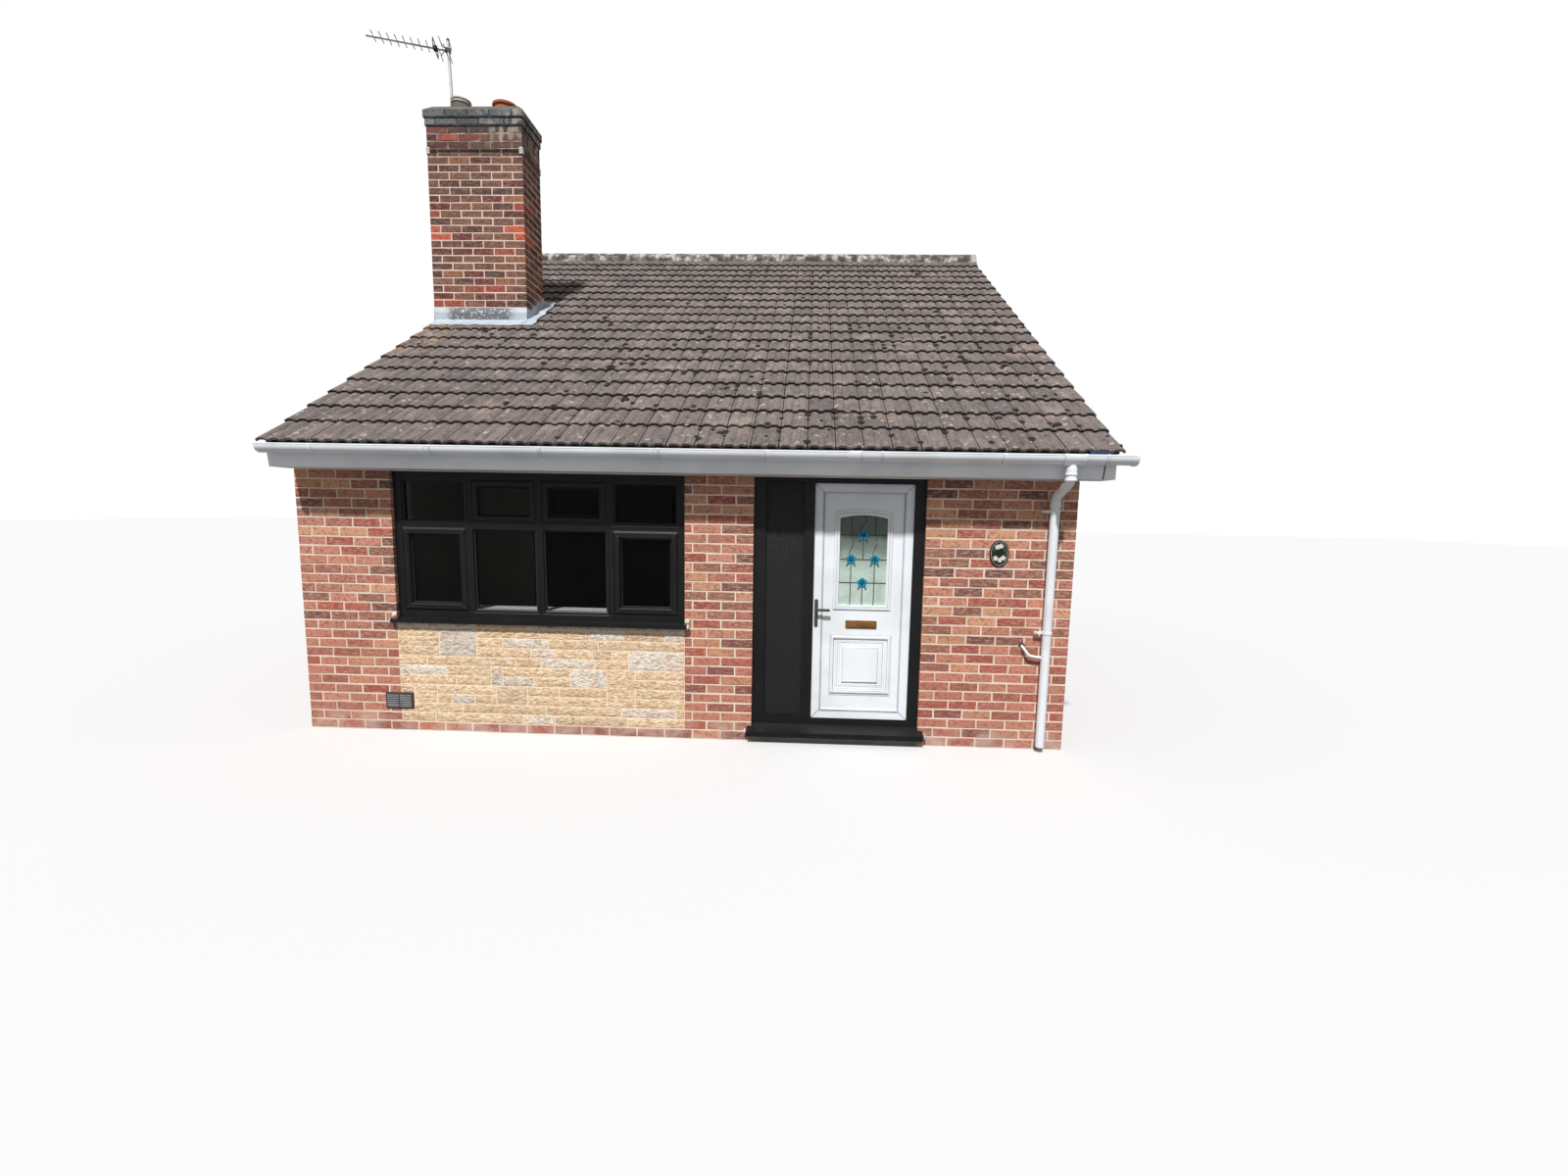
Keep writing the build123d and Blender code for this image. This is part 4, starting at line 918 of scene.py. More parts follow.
class SetStonePanel(bpy.types.Operator):
    """Set the split stones of the panel under the wide window"""

    bl_idname = "bungalow.set_stone_panel"
    bl_label = "Set the stone panel"

    def execute(self, context):
        settings = context.scene.bungalow_stone
        low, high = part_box("stone_panel")
        self.place = facade(low.y)
        self.relief = settings.relief
        self.dice = random.Random("split stones")
        vent_low, vent_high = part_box("air_vent")
        round_vent = 0.004
        self.vent = (vent_low.x - round_vent, vent_high.x + round_vent)
        self.vent += (vent_low.z - round_vent, vent_high.z + round_vent)
        shape = Shape()
        course = (high.z - low.z - settings.top) / (len(STONE_ROWS) - 1)
        edge = settings.joint / 2
        covered = {}
        for row, stones in enumerate(STONE_ROWS):
            head = high.z if row == 0 else high.z - settings.top - (row - 1) * course
            left = 0
            for stone in stones.split():
                left = covered.get((row, left), left)
                kind, (end, _, rows) = stone[0], stone[1:].partition("x")
                right, rows = int(end), int(rows or 1)
                for below in range(1, rows):
                    covered[row + below, left] = right
                foot = head - (settings.top if row == 0 else rows * course)
                start, stop = [low.x + (high.x - low.x) * share / 1000 for share in (left, right)]
                tint = (0.9 if kind == "g" else 0.1, self.dice.random(), 0.5)
                self.stone(shape, start + edge, stop - edge, foot + edge, head - edge, tint)
                left = right
        shape.build("split_stones", "split_stone", "stone", smooth=60)
        return {"FINISHED"}

    def stone(self, shape, left, right, foot, head, tint):
        """One stone: a rough split face that rounds off to its joints."""
        columns = max(4, round((right - left) / 0.016))
        rows = max(3, round((head - foot) / 0.013))
        seed = Vector((self.dice.uniform(0, 90), self.dice.uniform(0, 90), 0))
        lean, nod = self.dice.uniform(-0.25, 0.25), self.dice.uniform(-0.25, 0.25)

        def corner(column, row):
            s, t = min(max(column, 0), columns) / columns, min(max(row, 0), rows) / rows
            u, v = left + (right - left) * s, foot + (head - foot) * t
            rough = noise.fractal(Vector((u * 34, v * 52, 0)) + seed, 0.6, 2.1, 4)
            depth = self.relief * (0.5 + 0.62 * rough + lean * (s - 0.5) + nod * (t - 0.5))
            if min(s, 1 - s) * columns < 0.5 or min(t, 1 - t) * rows < 0.5:
                u += 0.0022 * noise.noise(Vector((u * 60, v * 60, 3)) + seed)
                v += 0.0022 * noise.noise(Vector((u * 60, v * 60, 7)) + seed)
                depth *= 0.35
            if self.vent[0] < u < self.vent[1] and self.vent[2] < v < self.vent[3]:
                depth = 0
            is_rim = column in (-1, columns + 1) or row in (-1, rows + 1)
            return self.place(u, v, -0.004 if is_rim else max(0.0005, depth))

        across = range(-1, columns + 2)
        shape.sheet([[corner(column, row) for column in across] for row in range(-1, rows + 2)], tint)


# Roof
def slope_place(pitch, side):
    """Places a point on a slope by x, distance up from the tile edge and height off the tails."""
    cos, sin = math.cos(pitch), math.sin(pitch)

    def place(x, along, height):
        y = ROOF_LOW.y + along * cos - height * sin
        return Vector((x, side * y, EDGE_LEVEL + along * sin + height * cos))

    return place


def up_slope(roof, y):
    """Distance up the front slope at which it reaches the given y."""
    return (y - ROOF_LOW.y) / math.cos(roof.pitch)


def fitted_cover(roof):
    """Width of a tile once a whole number of them fits the roof."""
    width = ROOF_HIGH.x - ROOF_LOW.x
    return width / round(width / roof.cover)


def wave(share):
    """Height of the tile rolls, 0 in the pans and 1 on the crests, over one wave."""
    share %= 1.0
    return max(0.0, min(1.0, (share - 0.12) / 0.18, (0.88 - share) / 0.18))


LAP_FALL = 0.020  # of a tile's face over one gauge
HEAD_LAP = 0.012
EAVES_DROP = 0.056  # of the lowest tiles past their batten line
# Steps up a tile: share of its length, how far the edge is rounded down there, and how dark it is painted
# there, dirt together with painted shade on the tail and under the lap at the head
TILE_STEPS = ((0, 0.0035, 1.0), (0.012, 0, 0.6), (0.05, 0, 0.2))
TILE_STEPS += ((0.2, 0, 0.05), (0.86, 0, 0.05), (1, 0, 0.8))
# Points across a tile with its two rolls
TILE_MARKS = (0.03, 0.06, 0.15, 0.35, 0.44, 0.56, 0.65, 0.85, 0.94, 0.985)


def lap_fall(along, gauge):
    """How far the tile surface lies below its tail, this far up the slope."""
    return -LAP_FALL * (along % gauge) / gauge


def in_stack(point):
    """Whether a point of the roof lies under the chimney."""
    inside = 0.06
    return point.x < STACK_HIGH.x - inside and STACK_LOW.y + inside < point.y < STACK_HIGH.y - inside


class LayRoof(bpy.types.Operator):
    """Lay the tiles of both slopes, the ridge tiles, their bedding and the moss"""

    bl_idname = "bungalow.lay_roof"
    bl_label = "Lay the roof"

    def execute(self, context):
        roof = self.roof = context.scene.bungalow_roof
        self.cover = fitted_cover(roof)
        reach = up_slope(roof, 0)
        moss = Shape()
        for side, name in ((1, "front_tiles"), (-1, "rear_tiles")):
            self.dice = random.Random(name)
            self.place = slope_place(roof.pitch, side)
            shape = Shape()
            for row in range(int(reach / roof.gauge) + 1):
                for column in range(round((ROOF_HIGH.x - ROOF_LOW.x) / self.cover)):
                    x, along = ROOF_LOW.x + column * self.cover, row * roof.gauge
                    if side == 1 and in_stack(self.place(x + self.cover / 2, along + roof.gauge / 2, 0)):
                        continue
                    head = min(along + roof.gauge + HEAD_LAP, reach + 0.02)
                    if head - along > 0.05:
                        self.tile(shape, x, along, head)
                    self.clumps(moss, x, along)
            shape.build(name, "roof_tile", smooth=25)
        moss.build("moss_clumps", "moss", "roof_tile", smooth=80)
        self.ridge()
        self.verge(reach)
        return {"FINISHED"}

    def tile(self, shape, x, along, head):
        """One tile with two rolls: its tail stands off the tile below."""
        roof, dice = self.roof, self.dice
        shift, lift = dice.uniform(-0.0012, 0.0012), dice.uniform(0, 0.0016)
        skew, slip = dice.uniform(-0.001, 0.001), dice.uniform(-0.0025, 0.0015)
        shades = (dice.random(), dice.random())
        # dirt scales the darkening at the tail, which is dirt and painted shade; the eaves course gets less
        # of it
        tail, thick, dirt = -0.006, roof.nose, 1
        if along == 0:
            tail, thick, dirt = -EAVES_DROP, roof.nose + 0.008, 0.4
        rings, tints = [], []
        for position, sink, nose in TILE_STEPS:
            s = along + (tail + slip) * (1 - position) + (head - along) * position
            fall = -LAP_FALL * (s - along) / roof.gauge
            top, under = [], []
            for index, mark in enumerate(TILE_MARKS):
                u = x + mark * self.cover + shift
                h = 0.0012 + fall + roof.roll * wave(mark * 2) + lift + skew * (index - 4.5) / 4.5
                top.append(self.place(u, s, h - sink))
                under.append(self.place(u, s, h - thick + sink * 0.4))
            rings.append(top + under[::-1])
            tints.append((*shades, nose * dirt))
        shape.loft(rings, tints)

    def clumps(self, moss, x, along):
        """A few cushions of moss in the pans and along the lap."""
        roof, dice = self.roof, self.dice
        chance = 0.36 if x > -1.5 and along < 3.2 else 0.16
        while dice.random() < chance:
            mark = dice.choice((0.0, 0.5, 1.0, dice.random()))
            at = along - dice.uniform(0.04, 0.27)
            base = lap_fall(at, roof.gauge) - 0.001 + roof.roll * wave(mark * 2)
            radius = dice.uniform(0.012, 0.032)
            if along < 0.1 or in_stack(self.place(x, at, 0)):
                continue
            rings = []
            for share, height in ((1.0, 0.0), (0.9, 0.45), (0.55, 0.85), (0.15, 1.0)):
                ring = []
                for c, s in circle(7):
                    grow = radius * share * dice.uniform(0.8, 1.2)
                    u = x + mark * self.cover + c * grow * 1.3
                    u = min(max(u, ROOF_LOW.x + 0.002), ROOF_HIGH.x - 0.002)
                    ring.append(self.place(u, at + s * grow, base + height * radius * 0.8))
                rings.append(ring)
            moss.loft(rings)

    def ridge(self):
        """Half-round ridge tiles, bedded and pointed in mortar."""
        low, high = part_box("ridge_tiles")
        run, outer, gap = high.x - low.x, high.z - low.z, 0.004
        count = round(run / 0.45)
        tiles, bedding = Shape(), Shape()
        dice = random.Random("ridge")

        def arc(x, radius, drop=0.0, start=-6, end=186):
            turns = [math.radians(start + (end - start) * step / 16) for step in range(17)]
            return [Vector((x, math.cos(t) * radius, low.z - drop + math.sin(t) * radius)) for t in turns]

        for index in range(count):
            start, end = low.x + index * run / count + gap, low.x + (index + 1) * run / count - gap
            drop = dice.uniform(0, 0.003)
            shade = (dice.random(), dice.random(), 0.5)
            rings = []
            for x, grow in ((start, -0.003), (start + 0.004, 0), (end - 0.004, 0), (end, -0.003)):
                rings.append(arc(x, outer + grow, drop) + arc(x, outer - 0.018, drop)[::-1])
            tiles.loft(rings, shade)
            if index:
                joint = ((-0.007, -0.006), (0, 0.0015), (0.007, -0.006))
                bedding.sheet([arc(start - gap + dx, outer + rise, 0, -4, 184) for dx, rise in joint])
        for x in (low.x + 0.003, high.x - 0.006):
            bedding.loft([arc(x, outer - 0.006), arc(x + 0.003, outer - 0.006)])
        steps = round(run / 0.04)
        for side in (-1, 1):
            rings = []
            for step in range(steps + 1):
                x = low.x + run * step / steps
                swell = 0.004 * noise.noise(Vector((x * 18, side * 5, 0)))
                section = ((0.118, 0.03), (0.146 + swell, -0.004), (0.158 + swell, -0.034))
                section += ((0.14, -0.05), (0.11, -0.02))
                rings.append([Vector((x, side * y, low.z + z)) for y, z in section])
            bedding.loft(rings)
        tiles.build("ridge_tiles_laid", "ridge_tile", replaces=["ridge_tiles"])
        bedding.build("ridge_bedding", "bedding", "mortar")

    def verge(self, reach):
        """Mortar under the tiles along the gable edge."""
        shape = Shape()
        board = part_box("barge_boards")[1].x
        for side in (1, -1):
            place = slope_place(self.roof.pitch, side)
            rings = []
            for step in range(81):
                along = 0.03 + (reach - 0.05) * step / 80
                out = board + 0.006 + 0.003 * noise.noise(Vector((along * 14, side, 2)))
                corners = ((out - 0.02, -0.055), (out, -0.050), (out, -0.018), (out - 0.02, -0.018))
                rings.append([place(x, along, h) for x, h in corners])
            shape.loft(rings)
        shape.build("verge_mortar", "bedding", "mortar")


class DressFlashing(bpy.types.Operator):
    """Dress the lead round the chimney: apron, stepped side, cover strips and back gutter"""

    bl_idname = "bungalow.dress_flashing"
    bl_label = "Dress the lead flashing"

    def execute(self, context):
        roof = self.roof = context.scene.bungalow_roof
        course = context.scene.bungalow_bricks.course
        self.place = slope_place(roof.pitch, 1)
        front, back, right = up_slope(roof, STACK_LOW.y), up_slope(roof, STACK_HIGH.y), STACK_HIGH.x
        base, behind = self.place(0, front, 0).z, self.place(0, back, 0).z
        joint = STACK_HIGH.z - course * math.floor((STACK_HIGH.z - base - 0.11) / course)
        corner = right + 0.008

        def spread(end):
            return [LEFT + (end - LEFT) * step / 84 for step in range(85)]

        def upstand(x, share):
            bulge = 0.004 * (noise.noise(Vector((x * 7, share * 3, 1))) + 1) * share
            z = joint - 0.004 + (base + 0.012 - joint) * share
            return Vector((x, STACK_LOW.y - 0.0095 - bulge, z))

        def apron(x, drop):
            edge = drop * (1 + 0.26 * noise.noise(Vector((x * 6.5, 2, 0))) + 0.05 * math.sin(x * 40))
            return self.on_tiles(x, front - edge, 0.0035)

        def beside(along, index):
            out = 0.118 + 0.014 * noise.noise(Vector((along * 6, 4, 0)))
            return self.on_tiles(right - 0.006 + out * index / 8, along, 0.006 if index else 0.03)

        def gutter(x, up):
            if up < 2:
                return Vector((min(x, corner), STACK_HIGH.y + 0.009, behind + 0.1 - up * 0.075))
            return self.on_tiles(x, back + 0.012 + (up - 2) * 0.034, 0.006)

        rows = [[upstand(x, share) for x in spread(corner)] for share in (0.0, 0.5, 1.0)]
        rows += [[apron(x, drop) for x in spread(corner)] for drop in (0.004, 0.04, 0.08, 0.12, 0.155)]
        shape = Shape()
        shape.sheet(rows, [(0.9, 0.5, 0.5)] * 3 + [PLAIN] * 5)
        alongs = [front - 0.16 + (back - front + 0.28) * step / 46 for step in range(47)]
        shape.sheet([[beside(along, index) for index in range(9)] for along in alongs])
        shape.sheet([[gutter(x, up) for x in spread(right + 0.1)] for up in range(7)])
        lead = shape.build("lead_sheets", "lead", smooth=60, replaces=["chimney_flashing"])
        lead.modifiers.new("Thickness", "SOLIDIFY").thickness = 0.0025

        steps = Shape()
        side = face_of((right, 0, 0), (0, 1, 0), (1, 0, 0))
        run = course / math.tan(roof.pitch)
        for index in range(4):
            y0 = STACK_LOW.y - 0.008 + index * run
            y1 = min(y0 + run + 0.03, STACK_HIGH.y + 0.008)
            top = joint + index * course
            under = [self.place(0, up_slope(roof, y), 0).z + 0.004 for y in (y0, y1)]
            outline = [(y0, under[0]), (y1, under[1]), (y1, top), (y0 + 0.035, top), (y0, top - 0.06)]
            steps.plate(side, outline, 0.001, 0.0085 + 0.0025 * (index % 2), PLAIN, 0.0015)
        steps.build("lead_steps", "lead")
        return {"FINISHED"}

    def on_tiles(self, x, along, clear):
        """A point on lead dressed over the tile rolls."""
        height = max(lap_fall(along + ahead, self.roof.gauge) for ahead in (0, 0.02))
        roll = self.roof.roll * (0.78 + 0.22 * wave((x - ROOF_LOW.x) / fitted_cover(self.roof) * 2))
        crease = 0.0012 * noise.noise(Vector((x * 22, along * 22, 5)))
        return self.place(x, along, height + roll + clear + crease)


class RaiseAerial(bpy.types.Operator):
    """Raise the aerial and its mast behind the chimney and lash it round the stack"""

    bl_idname = "bungalow.raise_aerial"
    bl_label = "Raise the aerial"

    def execute(self, context):
        foot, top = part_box("aerial")
        mast = Vector((-2.9925, -1.8955, 0))
        along = Vector((math.cos(math.radians(198)), math.sin(math.radians(198)), 0))
        across = Vector((-along.y, along.x, 0))
        lean = Vector((-0.045, 0, 0))
        start = mast + UP * (top.z - 0.114) + lean * 0.92
        folded = start + along * 0.130
        alloy, dark = Shape(), Shape()
        alloy.tube([mast + UP * foot.z, mast + UP * top.z + lean], 0.0155, 14)
        alloy.tube([start - along * 0.02, start + along * 0.795], 0.0145, 10)
        clamp = box_outline(-0.022, 0.034, -0.022, 0.022)
        dark.plate(face_of(start, along, across), clamp, -0.018, 0.018, PLAIN, 0.004)
        cap = ((-0.02, 0.017), (-0.004, 0.017), (0, 0.010))
        dark.disc(mast + lean + UP * (top.z - 0.001), UP, cap, 14)
        for index in range(1, 9):
            at = folded + along * (index * 0.0744) + UP * 0.002
            dark.tube([at - across * 0.093, at + across * 0.093], 0.0045, 6)
            alloy.disc(at - UP * 0.014, UP, ((0, 0.009), (0.028, 0.009)), 8)
        loop = [folded + across * u + UP * v for u, v in box_outline(-0.125, 0.125, -0.03, 0.03)]
        dark.tube(loop, 0.0055, 8, closed=True)
        joint_box = box_outline(-0.022, 0.022, -0.02, 0.014)
        dark.plate(face_of(folded, along, across), joint_box, -0.03, 0.03, PLAIN, 0.004)
        for tilt in (-35, 35):
            centre = start + along * 0.03
            arm = Matrix.Rotation(math.radians(tilt), 3, across) @ (UP * 0.08)
            dark.tube([centre - arm, centre + arm], 0.004, 8)
            for share in (-1, 0, 1):
                rod = centre + arm * share
                dark.tube([rod - across * 0.1, rod + across * 0.1], 0.004, 6)
        alloy.build("aerial_mast", "aerial_alloy", "aerial_metal", replaces=["aerial"])
        self.lash(mast, dark)
        return {"FINISHED"}

    def lash(self, mast, dark):
        """Two wires round the stack with their corner plates and the bracket of the mast."""
        level, out = 5.497, 0.0075
        low, high = STACK_LOW, STACK_HIGH
        wires, plates = Shape(), Shape()
        ring = box_outline(low.x - out, high.x + out, low.y - out, high.y + out)
        for z in (level - 0.008, level + 0.009):
            wires.tube([(x, y, z) for x, y in ring], 0.0032, 6, closed=True)
        for x, y, dx, dy in corners_of(low.x, high.x, low.y, high.y):
            corner = Vector((x - dx * 0.006, y - dy * 0.006, level))
            sideways, inwards = Vector((dx, 0, 0)), Vector((0, dy, 0))
            for way, other in ((sideways, -inwards), (inwards, -sideways)):
                wing = box_outline(-0.003, 0.034, -0.032, 0.032)
                plates.plate(face_of(corner, way, other), wing, 0, 0.0035, PLAIN, 0.001)
        bracket = box_outline(-0.05, 0.05, level - 0.02, level + 0.02)
        plates.plate(facade(high.y, 1, mast.x), bracket, 0.004, 0.028, PLAIN, 0.003)
        dark.disc(mast + UP * (level - 0.03), UP, ((0, 0.018), (0.06, 0.018)), 12)
        dark.build("aerial_rods", "aerial_dark", "aerial_metal")
        wires.build("lashing_wires", "aerial_dark", "aerial_metal")
        plates.build("lashing_corners", "putty", "aerial_metal")


# Gutters and pipes; the rear ones mirror those of the front
GUTTER_Y, GUTTER_LEVEL = 4.760, 2.2575
LIP_REACH, LIP_LEVEL, LIP_RADIUS = 0.0515, 2.264, 0.0062
PIPE_Y, PIPE_RADIUS = 4.506, 0.034
NECK_TOP, NECK_DROP = 2.085, 0.11
# Straps and joints of a gutter: where they sit, half their width and how far they stand out
STRAPS = [(x, 0.006, 0.0038) for x in (-1.7367, -0.9278, -0.068, 0.7025, 1.5254, 2.3733, 3.0861)]
STRAPS += [(1.3382, 0.034, 0.0026), (2.865, 0.074, 0.0026)]
STRAPS += [(x, 0.007, 0.0055) for x in (1.308, 1.3685, 2.796, 2.934, 3.283)]


def trough(x, side, outer, first, sweep):
    """Section of a band round the gutter, from the first angle over the sweep, in degrees."""
    ring = []
    for radius, order in ((outer, range(19)), (0.0555, range(18, -1, -1))):
        for step in order:
            turn = math.radians(first + step * sweep / 18)
            y = GUTTER_Y + math.cos(turn) * radius
            ring.append(Vector((x, side * y, GUTTER_LEVEL + math.sin(turn) * radius)))
    return ring


class HangPipes(bpy.types.Operator):
    """Fit the downpipes with smooth bends, sockets and clips, and the fine parts of the gutters"""

    bl_idname = "bungalow.hang_pipes"
    bl_label = "Hang the pipes"

    def execute(self, context):
        low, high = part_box("downpipes")
        pipes, screws = Shape(), Shape()
        for side in (-1, 1):
            self.downpipe(pipes, screws, (low.x + high.x) / 2, low.z, side)
        self.overflow()
        pipes.build("rain_pipes", "white_plastic", replaces=["downpipes"])
        screws.build("clip_screws", "aerial_dark", "white_plastic")
        self.gutter_parts()
        felt, caulk = Shape(), Shape()
        scrap = [(2.958, 2.262), (3.135, 2.262), (3.125, 2.272), (3.085, 2.302), (2.968, 2.299)]
        felt.plate(facade(-4.797), scrap, 0, 0.002)
        felt.build("torn_felt", "torn_felt", "roof_tile")
        seam = [(3.100, 2.105), (3.107, 2.105), (3.127, 2.28), (3.119, 2.28)]
        caulk.plate(facade(-4.700), seam, 0, 0.0025, PLAIN, 0.0008)
        caulk.build("fascia_seam", "caulk", "white_plastic")
        return {"FINISHED"}

    def downpipe(self, shape, screws, x, foot, side):
        """One downpipe with its bends, sockets, seams and wall clips."""
        route = [(GUTTER_Y, 2.204), (GUTTER_Y, NECK_TOP), (PIPE_Y, NECK_TOP - NECK_DROP), (PIPE_Y, foot)]
        shape.tube([(x, side * y, z) for y, z in route], PIPE_RADIUS, 24, bend=0.034)
        for y, level, tall in ((GUTTER_Y, 2.126, 0.05), (GUTTER_Y, 2.086, 0.03), (PIPE_Y, 1.903, 0.045)):
            socket = ((0, 0.038), (0.003, 0.042), (0.012, 0.042), (0.016, 0.0385), (tall, 0.0385))
            shape.disc((x, side * y, level), UP, (*socket, (tall + 0.002, 0.036)), 24)
        run = PIPE_Y - GUTTER_Y
        seam = ((-0.004, 0.034), (-0.002, 0.0358), (0.002, 0.0358), (0.004, 0.034))
        for share in (0.3, 0.7):
            at = (x, side * (GUTTER_Y + run * share), NECK_TOP - NECK_DROP * share)
            shape.disc(at, (0, side * run, -NECK_DROP), seam, 24)
        wall = facade(side * abs(FRONT), side, x)
        band = ((0, 0.0365), (0.002, 0.038), (0.022, 0.038), (0.024, 0.0365))
        for level in (1.860, 0.935):
            shape.disc((x, side * PIPE_Y, level), UP, band, 24)
            saddle = box_outline(-0.030, 0.030, level - 0.002, level + 0.026)
            shape.plate(wall, saddle, 0.001, 0.024, PLAIN, 0.003)
            ear = box_outline(-0.092, -0.034, level + 0.003, level + 0.020)
            shape.plate(wall, ear, 0.030, 0.054, PLAIN, 0.002)
            screw = (x - 0.080, side * (PIPE_Y - 0.004), level + 0.012)
            screws.disc(screw, (0, side, 0), ((0, 0.004), (0.005, 0.004)), 10)

    def overflow(self):
        """The bent overflow pipe and a dark ring round it as painted shade of its hole in the wall."""
        waste, hole = Shape(), Shape()
        route = [(2.690, -4.452, 0.832), (2.690, -4.487, 0.826)]
        route += [(2.735, -4.494, 0.764), (2.830, -4.499, 0.752)]
        waste.tube(route, 0.0105, 14, bend=0.02)
        waste.build("overflow_bend", "white_plastic", replaces=["overflow_pipe"])
        # A dark ring paints the shade of the hole round the pipe
        hole.disc((2.690, -4.449, 0.832), (0, -1, 0), ((0, 0.026), (0.004, 0.024), (0.0045, 0.016)), 16)
        hole.build("overflow_hole", "caulk", "white_plastic")

    def gutter_parts(self):
        """Rolled lips, straps and painted shadow lines beside the straps."""
        gutter, shadows = Shape(), Shape()
        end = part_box("gutters")[1].x - 0.002
        for side in (-1, 1):
            for edge in (-1, 1):
                y = side * (GUTTER_Y + edge * LIP_REACH)
                gutter.tube([(LEFT + 0.001, y, LIP_LEVEL), (end, y, LIP_LEVEL)], LIP_RADIUS, 10)
            for x, half, rise in STRAPS:
                steps = ((-half, 0), (0.001 - half, rise), (half - 0.001, rise), (half, 0))
                gutter.loft([trough(x + dx, side, 0.056 + grow, 176, 188) for dx, grow in steps])
                # Grey bands each side of a strap: painted shadow lines
                for at in (x - half - 0.001, x + half + 0.001):
                    shadows.loft([trough(at + dx, side, 0.0572, 184, 176) for dx in (-0.0011, 0.0011)])
                y = side * (GUTTER_Y + LIP_REACH)
                lip = [(x - half, y, LIP_LEVEL), (x + half, y, LIP_LEVEL)]
                gutter.tube(lip, LIP_RADIUS + rise * 0.7, 10)
        gutter.build("gutter_beads", "white_plastic")
        shadows.build("gutter_joints", "groove", "white_plastic")


# The parts of a window and its lights
FRAME_WIDTH, MULLION_WIDTH, SASH_WIDTH = 0.064, 0.058, 0.050
LIGHT_LEVELS = ((1.003, 1.657, False), (1.715, 2.036, True))  # foot, head and whether it is a top light
SASH_RIM = ((-0.005, 0.020), (-0.005, 0.0238), (0.0095, 0.0352), (0.0105, 0.0352), (0.0115, 0.0335))
GLASS_Y = 4.393
# Mortar smeared at the ends of the sills: its place and the way it leans
SMEARS = ((-2.299, -4.485, 0.918, -1), (0.075, -4.485, 0.918, 1))
SMEARS += ((0.5475, -4.49, 0.092, -1), (1.9545, -4.49, 0.092, 1))


def window_panes():
    """Each pane of the windows: its corners, whether a sash holds it, and its wall."""
    panes = []
    for left, right, bays, side in WINDOWS:
        bay = (right - left - 2 * FRAME_WIDTH - (bays - 1) * MULLION_WIDTH) / bays
        for index in range(bays):
            start = left + FRAME_WIDTH + index * (bay + MULLION_WIDTH)
            in_middle = 0 < index < bays - 1
            for foot, head, is_top in LIGHT_LEVELS:
                panes.append((start, start + bay, foot, head, in_middle == is_top, side))
    return panes


class GlazeWindows(bpy.types.Operator):
    """Fit the beads and gaskets of the windows, their board, the vent slats and the sills' mortar"""

    bl_idname = "bungalow.glaze_windows"
    bl_label = "Glaze the windows"

    def execute(self, context):
        gaskets, mitres, beads, boards = Shape(), Shape(), Shape(), Shape()
        for left, right, foot, head, has_sash, side in window_panes():
            wall = facade(side * GLASS_Y, side)
            inset, face, out = (SASH_WIDTH, 0.034, -0.012) if has_sash else (0, 0.022, -0.024)
            pane = (left + inset, right - inset, foot + inset, head - inset)
            gaskets.frame(wall, pane, ((0.0085, 0), (0.0085, 0.0045), (0.0115, 0.0035), (0.0115, 0)))
            profile = ((out, face - 0.001), (out + 0.001, face + 0.0022), (out + 0.004, face + 0.003))
            profile += ((out + 0.010, face - 0.0017), (0.008, 0.006), (0.009, 0), (-0.004, 0))
            beads.frame(wall, pane, profile)
            if has_sash:
                beads.frame(wall, (left, right, foot, head), SASH_RIM)
                for u, v, du, dv in corners_of(left, right, foot, head):
                    start, end = [(u + du * at, v + dv * at) for at in (0.009, 0.041)]
                    mitres.strip(wall, start, end, 0.000849, 0.030, 0.0343)
        boards.plate(facade(0, 1), box_outline(-2.21, -0.015, 0.982, 1.006), -4.344, -4.16, PLAIN, 0.004)
        boards.build("window_board_cover", "white_plastic")
        self.vent_slats()
        beads.build("glazing_beads", "black_plastic")
        gaskets.build("glazing_gaskets", "gasket", "black_plastic")
        mitres.build("sash_mitres", "mitre_line", "black_plastic")
        self.sill_mortar()
        return {"FINISHED"}

    def vent_slats(self):
        """Two columns of slats in the air vent."""
        slats = Shape()
        low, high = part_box("air_vent")
        for index in range(7):
            foot = low.z + 0.016 + index * 0.0152
            for left, right in ((low.x + 0.014, low.x + 0.1115), (low.x + 0.1175, high.x - 0.014)):
                slat = box_outline(left, right, foot, foot + 0.0062)
                slats.plate(facade(low.y), slat, -0.002, 0.0025, PLAIN, 0.001)
        # The slats' finish holds painted shade
        slats.build("vent_slats", "vent_slat", "dark_plastic")

    def sill_mortar(self):
        """Mortar smeared round the ends of the sills and two daubs above them."""
        mortar = Shape()
        dice = random.Random("blobs")
        for x, y, z, way in SMEARS:
            rings = []
            for share, height in ((1, 0.002), (0.95, 0.006), (0.6, 0.012), (0.2, 0.014)):
                ring = []
                for c, s in circle(10):
                    grow = share * dice.uniform(0.85, 1.15)
                    ring.append(Vector((x + way * height * 1.4, y + 0.022 * c * grow, z + 0.024 * s * grow)))
                rings.append(ring)
            mortar.loft(rings)
        for x in (-2.296, 0.071):
            daub = ((0, 0.021), (0.009, 0.021), (0.015, 0.014), (0.017, 0.005))
            mortar.disc((x, -4.446, 0.958), (0, -1, 0), daub, 12)
        mortar.build("sill_end_mortar", "putty", "mortar", smooth=70)


